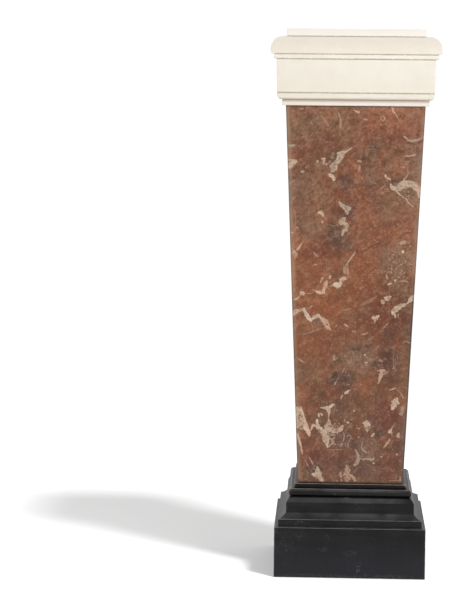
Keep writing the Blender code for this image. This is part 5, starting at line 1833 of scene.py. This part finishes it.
@dataclass
class Base:
    """The black base: plinth, cove moulding, torus and fillet board."""

    finish: BlackPaint = BlackPaint()
    boards: PlainBoards = field(default_factory=PlainBoards)
    # how high the dust and painted floor reflection reach on the plinth
    foot_dust_reflection_height: float = 95.0 * MM
    # the board's arris colour: bare wood and a painted highlight
    bare_wood_and_highlight: Colour = (0.25, 0.185, 0.145)
    board_deep: Colour = (0.0040, 0.0028, 0.0018)
    board_dusty: Colour = (0.0082, 0.0058, 0.0045)
    cove_neck_half: float = 132.0 * MM
    cove_fillet_rise: float = 15.8 * MM
    hollow_rise: float = 11.2 * MM
    hollow_depth: float = 1.8 * MM
    shoulder_splay: float = 7.8 * MM
    shoulder_fall: float = 11.5 * MM
    shoulder_swell: float = 0.5 * MM
    # where on the torus's round its pale line lies: wear and a painted highlight
    torus_wear_highlight_deg: float = 63.0
    # heights of painted shade, from each moulding's top or foot
    cove_shade: Point = (0.8 * MM, 2.8 * MM)
    torus_shade: Point = (2.8 * MM, 6.2 * MM)
    plinth_scuffs: tuple[tuple[float, ...], ...] = (
        (-54.0, 60.0, 12.0, 5.0, 0.6), (0.0, 52.0, 16.0, 7.0, 0.5), (32.0, 8.0, 3.0, 6.0, 0.6),
        (-70.0, 4.0, 90.0, 5.0, 0.7), (70.0, 4.0, 90.0, 5.0, 0.7))
    cove_ease: float = 0.8 * MM
    hollow_lift: float = 0.24 * MM
    cove_inset: float = 20.0 * MM
    torus_inset: float = 24.0 * MM
    torus_top_shade: Point = (0.8 * MM, 0.3 * MM)
    torus_maroon: float = 0.85
    torus_wear_highlight_width: float = 1.6 * MM
    torus_mitre_ease: float = 1.6 * MM
    board_worn_highlight_width: float = 1.5 * MM
    board_shade: Point = (4.5 * MM, 2.0 * MM)

    def build(self) -> list[Piece]:
        """Build the base from the floor up.

        Returns:
            Its pieces.
        """
        # the plinth grows lighter towards the floor with dust and a painted reflection of it
        foot_dust_reflection_paint = replace(self.finish, foot_reach=self.foot_dust_reflection_height, scuffs=self.plinth_scuffs)
        board = Seat.of("base_fillet_board")
        # the fillet board: its arrises pale with bare wood and painted highlight, its foot in painted shade
        unshaded, black = (board.foot + height for height in self.board_shade)
        board_worn_highlit_shaded = replace(self.finish, worn_and_highlight=self.bare_wood_and_highlight, worn_highlight_width=self.board_worn_highlight_width,
                             deep=self.board_deep, dusty=self.board_dusty, shaded_bands=((unshaded, black),))
        return [self.boards.build("plinth", foot_dust_reflection_paint, seed=11.0),
                self._cove(),
                self._torus(),
                self.boards.build("base_fillet_board", board_worn_highlit_shaded, seed=14.0)]

    def _cove(self) -> Piece:
        """Build the cove moulding: splayed shoulder, plain neck, shallow hollow and fillet.

        Returns:
            The moulding.
        """
        seat = Seat.of("cove_moulding")
        fillet_top = seat.foot + self.cove_fillet_rise
        shoulder_half = self.cove_neck_half - self.shoulder_splay
        shoulder_foot = (self.cove_neck_half, seat.top - self.shoulder_fall)
        inner = self.cove_neck_half - self.cove_inset
        profile = Profile().to(inner, seat.top)
        profile.corner(shoulder_half, seat.top, following=shoulder_foot, ease=self.cove_ease)
        profile.bow(shoulder_foot, -self.shoulder_swell)
        profile.to(self.cove_neck_half, fillet_top + self.hollow_rise)
        profile.bow((seat.half - self.cove_ease, fillet_top + self.hollow_lift), self.hollow_depth)
        profile.corner(seat.half, fillet_top, following=(seat.half, seat.foot), ease=self.cove_ease)
        profile.corner(seat.half, seat.foot, following=(inner, seat.foot), ease=self.cove_ease)
        profile.to(inner, seat.foot)
        tips = ((seat.half, fillet_top), (seat.half, seat.foot))
        # painted shade at the top of the cove, under the torus's overhang
        nearest, farthest = self.cove_shade
        shaded = replace(self.finish, shaded_bands=((seat.top - farthest, seat.top - nearest),))
        return SquareMoulding("cove_moulding", profile, shaded, sharp=tips, seed=12.0).build()

    def _torus(self) -> Piece:
        """Build the half-round moulding, whose ends show maroon through the black.

        Returns:
            The moulding.
        """
        seat = Seat.of("base_torus")
        radius = (seat.top - seat.foot) / 2
        inner = seat.half - self.torus_inset
        profile = Profile().to(inner, seat.top)
        profile.sweep((seat.half - radius, seat.foot + radius), (radius, radius), 90, -90, steps=20)
        profile.to(inner, seat.foot)
        # painted shade on the torus's foot, under its round, and at its top against the board
        deepest, shallowest = self.torus_shade
        lower, upper = self.torus_top_shade
        shaded_bands = ((seat.foot + shallowest, seat.foot + deepest), (seat.top - lower, seat.top - upper))
        stained = replace(self.finish, maroon_amount=self.torus_maroon, worn_highlight_width=self.torus_wear_highlight_width,
                          shaded_bands=shaded_bands)
        # the pale line on the torus's round: wear and a painted highlight where light catches it
        slant = math.radians(self.torus_wear_highlight_deg)
        wear_highlight_line = (seat.half - radius + radius * math.cos(slant), seat.foot + radius + radius * math.sin(slant))
        return SquareMoulding("base_torus", profile, stained, sharp=(wear_highlight_line,), seed=13.0,
                              mitre_ease=self.torus_mitre_ease).build()


# Studio


@dataclass(frozen=True)
class Softbox:
    """One square softbox: where it stands and how strong it is."""

    name: str
    place: Triple
    size: float
    watts: float


@dataclass(frozen=True)
class FloorLight:
    """A far light that falls on the floor alone: its direction, how wide it looks and its strength."""

    name: str
    azimuth_deg: float
    elevation_deg: float
    width_deg: float
    strength: float


@dataclass
class Studio:
    """A plain white studio: pale floor, two frontal softboxes, lights on the floor and a soft surround."""

    floor_radius: float = 1.35
    floor_segments: int = 96
    floor_colour: Colour = (0.60, 0.60, 0.60)
    white: Colour = (1.0, 1.0, 1.0)
    softboxes: tuple[Softbox, ...] = (Softbox("right_softbox", (1.9, -2.3, 1.25), 1.4, 43.0),
                                      Softbox("left_softbox", (-2.0, -2.5, 1.25), 1.4, 24.0))
    aim: Triple = (0.0, 0.0, 0.65)
    floor_lights: tuple[FloorLight, ...] = (FloorLight("floor_key", 46.0, 53.0, 9.0, 3.4),
                                            FloorLight("floor_fill", -1.0, 12.5, 4.0, 3.6))
    level_glow: float = 0.30
    top_glow: float = 0.80
    back_glow: float = 0.70
    backdrop: float = 1.05

    def build(self) -> None:
        """Make the floor, the lights and the surround."""
        floor = self._floor()
        for softbox in self.softboxes:
            self._softbox(softbox)
        for light in self.floor_lights:
            self._floor_light(light, floor)
        self._surround()
        bpy.context.scene.view_settings.view_transform = "Standard"
        LOG.info("studio: floor, %d softboxes, %d floor lights and surround", len(self.softboxes),
                 len(self.floor_lights))

    def _floor(self) -> Piece:
        """Make the pale round floor, past which the surround takes over.

        Returns:
            The floor.
        """
        form = bmesh.new()
        bmesh.ops.create_circle(form, cap_ends=True, radius=self.floor_radius, segments=self.floor_segments)
        mesh = bpy.data.meshes.new("studio_floor")
        form.to_mesh(mesh)
        form.free()
        floor = bpy.data.objects.new("studio_floor", mesh)
        bpy.context.scene.collection.objects.link(floor)
        graph = Paint("studio_floor_paint")
        paint = graph.finish(Base_Color=self.floor_colour, Roughness=0.8, Specular_IOR_Level=0.1)
        mesh.materials.append(paint)
        return floor

    def _softbox(self, softbox: Softbox) -> None:
        """Make one softbox aimed at the pedestal.

        Args:
            softbox: its place, size and strength.
        """
        data = bpy.data.lights.new(softbox.name, "AREA")
        data.size = softbox.size
        data.energy = softbox.watts
        lamp = bpy.data.objects.new(softbox.name, data)
        lamp.location = softbox.place
        lamp.rotation_euler = (Vector(self.aim) - Vector(softbox.place)).to_track_quat("-Z", "Y").to_euler()
        bpy.context.scene.collection.objects.link(lamp)

    @staticmethod
    def _floor_light(light: FloorLight, floor: Piece) -> None:
        """Make one far light that only the floor receives.

        Args:
            light: its direction, width and strength.
            floor: the floor.
        """
        azimuth = math.radians(light.azimuth_deg)
        elevation = math.radians(light.elevation_deg)
        level = math.cos(elevation)
        towards = Vector((math.sin(azimuth) * level, -math.cos(azimuth) * level, math.sin(elevation)))
        data = bpy.data.lights.new(light.name, "SUN")
        data.energy = light.strength
        data.angle = math.radians(light.width_deg)
        lamp = bpy.data.objects.new(light.name, data)
        lamp.rotation_euler = towards.to_track_quat("Z", "Y").to_euler()
        bpy.context.scene.collection.objects.link(lamp)
        receivers = bpy.data.collections.new(f"{light.name}_receivers")
        receivers.objects.link(floor)
        lamp.light_linking.receiver_collection = receivers

    def _surround(self) -> None:
        """Light the scene from a surround that is bright above and behind, dim in front, and looks white."""
        world = bpy.data.worlds.new("studio_surround")
        bpy.context.scene.world = world
        world.use_nodes = True
        graph = Graph(world.node_tree)
        direction = graph.node("ShaderNodeTexCoord").outputs["Generated"]
        split = graph.node("ShaderNodeSeparateXYZ", None, {0: direction})
        above = Value(graph, split.outputs["Z"]).most(0.0)
        behind = Value(graph, split.outputs["Y"]).step(0.0, 0.6)
        strength = above * (self.top_glow - self.level_glow) + behind * self.back_glow + self.level_glow
        glow = graph.node("ShaderNodeBackground", None, {"Color": self.white, "Strength": strength})
        white = graph.node("ShaderNodeBackground", None, {"Color": self.white, "Strength": self.backdrop})
        seen = graph.node("ShaderNodeLightPath").outputs["Is Camera Ray"]
        choose = graph.node("ShaderNodeMixShader")
        for socket, source in zip(choose.inputs, (seen, glow.outputs[0], white.outputs[0])):
            graph.tree.links.new(source, socket)
        graph.tree.links.new(choose.outputs[0], graph.tree.nodes["World Output"].inputs["Surface"])


def main() -> None:
    """Build the pedestal's finish and the studio around it."""
    camera = PhotoCamera()
    camera.make()
    for assembly in (Base(), Shaft(camera), Capital()):
        pieces = assembly.build()
        LOG.info("%s: %d pieces", type(assembly).__name__, len(pieces))
    Studio().build()


if __name__ == "__main__":
    main()
